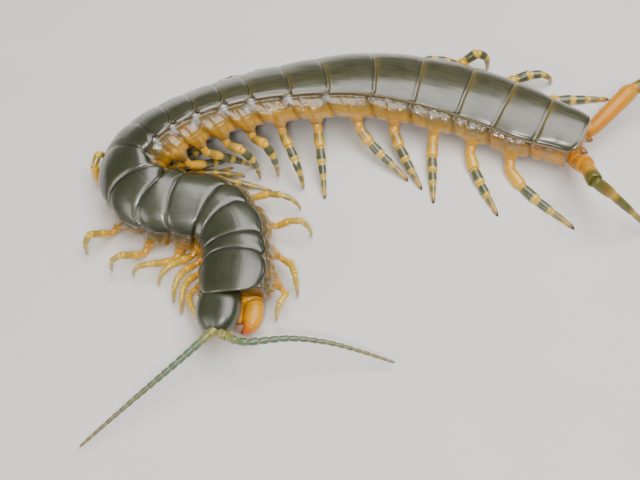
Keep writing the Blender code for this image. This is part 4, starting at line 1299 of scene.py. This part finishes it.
def head_capsule(material):
    """Head shield rounded down to a rim, with the underside closed below it."""
    bpy.ops.mesh.primitive_uv_sphere_add(segments=96, ring_count=72, radius=1.0)
    head = bpy.context.object
    widths, tops, bottoms = columns_of(HEAD_ROWS)
    lay, edges = [], []
    for vert in head.data.vertices:
        ring, cos_turn, sin_turn, t = unrolled(vert.co)
        ahead = HEAD_START + HEAD_LENGTH * t
        width, top, bottom = (smooth_between(table, ahead) for table in (widths, tops, bottoms))
        if ahead > HEAD_ROUNDING_START:
            part = (ahead - HEAD_ROUNDING_START) / HEAD_ROUNDING_LENGTH
            width = HEAD_WIDEST * math.sqrt(max(0.0, 1 - part ** 2))
        if ahead < 0.2:
            narrow = math.sqrt(max(0.0, 1 - ((0.2 - ahead) / 1.1) ** 2))
            width *= 0.55 + 0.45 * narrow
        width -= 0.45 * (1 - ease(ahead, -0.5, 3.0))
        top -= 0.55 * (1 - ease(ahead, -0.4, 2.2))
        close = min(1.0, ring * 4.0)
        width *= close
        middle = bottom + (top - bottom) * 0.35
        side = math.copysign(abs(cos_turn) ** 0.8, cos_turn)
        if sin_turn >= 0:
            height = (top - middle) * sin_turn ** 0.74
        else:
            height = (bottom - middle) * min(1.0, -sin_turn * 1.6)
        rim = hump(sin_turn + 0.02, 0.10)
        out = 1.0 + 0.035 * rim - 0.06 * hump(sin_turn + 0.22, 0.10)
        furrow = -0.14 * hump(side * width, 0.20) * ease(ahead, 6.6, 8.2) * max(0.0, sin_turn)
        line = hump(abs(side * width) - 1.5, 0.16) * (1 - ease(ahead, 1.6, 3.0))
        furrow += -0.05 * line * max(0.0, sin_turn)
        dent = 0.05 * noise.noise(Vector((ahead * 0.4, side * width * 0.4, 2.0)))
        height = height * close + (furrow + dent) * (1 if sin_turn > 0 else 0)
        vert.co = HEAD_FRAME.at(ahead, side * width * out, middle + height)
        lay.append((ahead, side * width, 0.02))
        edges.append((9.0, 4.0 if sin_turn > 0.05 else sin_turn + 0.3, 9.0))
    note(head, "lay", lay)
    note(head, "edges", edges)
    close_and_face_out(named(head, "head_capsule"))
    return settle(head, material, ["head"], 60)


def eye_group(side, material):
    """Four small domed eyes, each in a swollen rim, on one side of the head."""
    lens = turned("lens", ((-0.5, 0.6), (-0.1, 1.0), (0.2, 1.06), (0.34, 0.98), (0.36, 0.86), (0.62, 0.66),
                           (0.80, 0.36), (0.85, 0.08)), 16)
    parts = []
    for ahead, out, height in OCELLI:
        place = HEAD_FRAME.at(ahead - 0.42, (out - 0.22) * side, height)
        away = HEAD_FRAME.at(ahead + (ahead - 5.5) * 0.35, out * side * 1.5, height + 0.5)
        parts.append(placed_copy(lens, frame_along(place, away) @ Matrix.Scale(OCELLUS_SIZE, 4)))
    bpy.data.objects.remove(lens)
    piece = join_all(f"ocelli_{SIDES[side]}", parts)
    return settle(piece, material, (), 50)


def socket_ring(side, material):
    """Collar that a feeler stands in."""
    points = ANTENNA_POINTS[side]
    face = Vector(points[0])
    way = (Vector(points[1]) - face).normalized()
    collar = turned("collar", ((0.0, 0.85), (0.3, 0.98), (0.7, 1.04), (0.9, 1.02), (1.0, 0.92), (0.97, 0.80),
                               (0.90, 0.70)), 18)
    heights = heights_of(collar)
    collar.data.transform(frame_along(face - way * 1.7, face) @ Matrix.Diagonal((1.0, 1.0, 1.75, 1.0)))
    note(collar, "lay", [(0.01, max(0.0, z) * 0.3, 0.0) for z in heights])
    collar.name = f"antenna_socket_{SIDES[side]}"
    return settle(collar, material, (), 50)


def palp(side, material):
    """Second maxilla palp of three joints and a small claw, below the head."""
    joints = [HEAD_FRAME.at(ahead, out * side, height) for ahead, out, height in PALP_JOINTS]
    parts = []
    for i, (kind, radius) in enumerate(PALP_ARTICLES):
        share = 0.08 + 0.02 * i if kind != "claw" else 0.97
        parts.append(article_copy(kind, joints[i], joints[i + 1], radius, (share, share + 0.02), 0.0, 0.0))
    piece = join_all(f"palp_{SIDES[side]}", parts)
    return settle(piece, material, (), 50)


def forcipule_plate(material):
    """Broad plate under the head, with two toothed lobes at its front."""
    front = FrontFrame()
    bpy.ops.mesh.primitive_uv_sphere_add(segments=72, ring_count=56, radius=1.0)
    plate = bpy.context.object
    widths, tops, bottoms = columns_of(FORCIPULE_PLATE_ROWS)
    lay = []
    for vert in plate.data.vertices:
        ring, cos_turn, sin_turn, t = unrolled(vert.co)
        ahead = FORCIPULE_PLATE_START + FORCIPULE_PLATE_LENGTH * t
        width, top, bottom = (between(table, ahead) for table in (widths, tops, bottoms))
        width = 1.9 + 4.0 * (1 - ease(ahead, -0.2, 1.6)) if ahead < 1.6 else min(width, 1.9)
        close = min(1.0, ring * 5.0) ** 0.5
        side = math.copysign(abs(cos_turn) ** 0.7, cos_turn)
        height = math.copysign(abs(sin_turn) ** 0.55, sin_turn)
        groove = 0.14 * hump(side * width, 0.16) if sin_turn < 0 else 0.0
        notch = 0.5 * hump(side * width, 0.35) * ease(ahead, 4.2, 5.2)
        vert.co = front.at(ahead - notch, side * width * close,
                           (top + bottom) / 2 + (top - bottom) / 2 * height * close + groove)
        lay.append((0.12 + 0.2 * t, 0.0, 0.0))
    note(plate, "lay", lay)
    close_and_face_out(plate)
    parts = [plate]
    for side in (1, -1):
        for k in range(TEETH):
            root = front.at(4.7, (0.35 + 0.36 * k) * side, -3.2)
            tip = front.at(5.72 - 0.07 * k, (0.37 + 0.38 * k) * side, -3.3)
            parts.append(spur_copy(root, tip, 0.26, 0.97, 0.0, 0.0))
    piece = join_all("forcipule_plate_cuticle", parts)
    return settle(piece, material, ["forcipule_plate"], 50)


def forcipule(side, material):
    """Poison fang: a fat joint along the head's side, two fine rings and the curved dark-tipped point."""
    front = FrontFrame()
    places = [front.at(ahead, out * side, height) for ahead, out, height, radius in FORCIPULE_ROWS]
    before = front.at(-0.6, FORCIPULE_ROWS[0][1] * side, FORCIPULE_ROWS[0][2])
    beyond = front.at(6.7, 0.2 * side, -3.3)
    line = line_through([before, *places, beyond], 12)
    ways = way_along(places)
    radii = [(way / ways[-1], row[3]) for way, row in zip(ways, FORCIPULE_ROWS)]
    profile = []
    for i in range(61):
        t = i / 60
        radius = smooth_between(radii, t)
        for joint, depth in FORCIPULE_RINGS:
            radius *= 1 - depth * hump(t - joint, 0.012)
        profile.append((t, max(radius * (1 - 0.5 * hump(t, 0.015)), 0.05)))
    fang = turned("fang", profile, 32)
    heights = heights_of(fang)
    for vert in fang.data.vertices:
        vert.co.y *= 0.92
    lay_along(fang, line, front.up)
    note(fang, "lay", [(z, 0.0, 0.0) for z in heights])
    node = f"forcipule_{SIDES[side]}"
    fang.name = node + "_cuticle"
    return settle(fang, material, [node], 50)


def spiracle(number, side, model, material):
    """Oval breathing hole with an orange lip, in the side skin below a back plate."""
    k = number - 1
    s = BORDERS[k] + (BORDERS[k + 1] - BORDERS[k]) * SPIRACLE_PLACE
    section = Section(s)
    place = skin_point(section, s, SPIRACLE_TURNS[side])
    beside = skin_point(section, s, SPIRACLE_TURNS[side] + 0.02 * side)
    out = (beside - place).cross(section.forward * side).normalized()
    if out.dot(section.left * side) < 0:
        out = -out
    copy = placed_copy(model, Matrix.Identity(4))
    reach = [math.hypot(vert.co.x, vert.co.y) for vert in copy.data.vertices]
    copy.data.transform(frame_along(place - out * 0.25, place + out, section.up)
                        @ Matrix.Diagonal((*SPIRACLE_SIZE, 1.0)))
    note(copy, "lay", [(far, 0.0, 0.0) for far in reach])
    named(copy, f"spiracle_{SIDES[side]}_{number:02d}")
    return settle(copy, material, (), 50)


def studio():
    """Pale floor, broad soft lights and the camera at the photograph's angle."""
    bpy.ops.mesh.primitive_plane_add(size=3.0, location=(0, 0, 0))
    floor = bpy.context.object
    floor.name = "floor"
    paint = Paint("pale_floor")
    grain = paint.noise(40.0, 3.0)
    colour = paint.mix(grain, (0.76, 0.74, 0.71), (0.82, 0.80, 0.77))
    floor.data.materials.append(paint.finish(colour, 0.8, paint.bump(grain, 0.0005, 0.2)))
    world = bpy.context.scene.world or bpy.data.worlds.new("studio")
    bpy.context.scene.world = world
    world.use_nodes = True
    back = world.node_tree.nodes["Background"]
    back.inputs["Color"].default_value = (0.82, 0.88, 1.0, 1.0)
    back.inputs["Strength"].default_value = 0.16
    target = Vector((0.0, 0.01, 0.0))
    for name, place, width, height, power, colour in LEVEL_LIGHTS + AIMED_LIGHTS:
        light = bpy.data.lights.new(name, "AREA")
        light.shape = "RECTANGLE"
        light.size = width
        light.size_y = height
        light.energy = power
        light.color = colour
        thing = bpy.data.objects.new(name, light)
        thing.location = place
        if (name, place, width, height, power, colour) in AIMED_LIGHTS:
            thing.rotation_euler = (target - Vector(place)).to_track_quat("-Z", "Y").to_euler()
        bpy.context.scene.collection.objects.link(thing)
    lens = bpy.data.cameras.new("camera")
    lens.sensor_width = SENSOR_WIDTH
    lens.lens = SENSOR_WIDTH / 2 / math.tan(math.radians(CAMERA_VIEW / 2))
    lens.clip_start = 0.01
    camera = bpy.data.objects.new("camera", lens)
    camera.location = CAMERA_PLACE
    camera.rotation_euler = (math.radians(CAMERA_TILT), 0.0, 0.0)
    bpy.context.scene.collection.objects.link(camera)
    bpy.context.scene.camera = camera


PLATES = plate_cuticle("plate_cuticle", 0.20)
HEAD_SHIELD = plate_cuticle("head_cuticle", 0.34)
LEGS = leg_cuticle()
FEELERS = antenna_cuticle()
FANGS = orange_cuticle("fang_cuticle", ((0.0, (0.62, 0.24, 0.003)), (0.14, (0.70, 0.32, 0.003)),
                                        (0.60, (0.70, 0.31, 0.003)), (0.74, (0.68, 0.20, 0.003)),
                                        (0.88, (0.62, 0.085, 0.003)), (0.95, (0.30, 0.03, 0.003)),
                                        (1.0, (0.03, 0.008, 0.004))))
LAST_LEGS = orange_cuticle("ultimate_cuticle", ((0.0, (0.62, 0.22, 0.002)), (0.33, (0.68, 0.27, 0.002)),
                                                (0.39, (0.60, 0.28, 0.015)), (0.43, (0.12, 0.11, 0.02)),
                                                (0.54, (0.13, 0.12, 0.02)), (0.60, (0.55, 0.32, 0.03)),
                                                (0.64, (0.11, 0.115, 0.025)), (0.74, (0.12, 0.12, 0.03)),
                                                (0.79, (0.50, 0.33, 0.05)), (0.84, (0.22, 0.20, 0.06)),
                                                (0.93, (0.34, 0.26, 0.09)), (0.985, (0.02, 0.012, 0.008))))
# Spiracle lip: near black in the middle as painted shade of the breathing hole, which is only a shallow cup,
# then orange towards the rim.
LIPS = orange_cuticle("spiracle_cuticle", ((0.0, (0.02, 0.006, 0.004)), (0.30, (0.05, 0.012, 0.006)),
                                           (0.45, (0.36, 0.09, 0.010)), (1.0, (0.42, 0.15, 0.03))))
EYES = eye_cuticle()

body_skin(skin_cuticle())
for index in range(SEGMENTS):
    back_plate(index, PLATES)
    belly_plate(index, PLATES)
head_capsule(HEAD_SHIELD)
forcipule_plate(FANGS)
lip = turned("lip", ((-0.3, 1.0), (0.10, 1.05), (0.26, 0.92), (0.32, 0.72), (0.24, 0.52), (0.05, 0.36),
                     (-0.1, 0.15)), 18)
for hand in (1, -1):
    eye_group(hand, EYES)
    socket_ring(hand, FEELERS)
    palp(hand, LEGS)
    forcipule(hand, FANGS)
    antenna(hand, FEELERS)
    ultimate_leg(hand, LAST_LEGS)
    for index in range(1, WALKING_LEGS + 1):
        walking_leg(index, hand, LEGS)
    for index in SPIRACLE_SEGMENTS:
        spiracle(index, hand, lip, LIPS)
for model in [*ARTICLES.values(), SPUR, lip]:
    bpy.data.objects.remove(model)
studio()
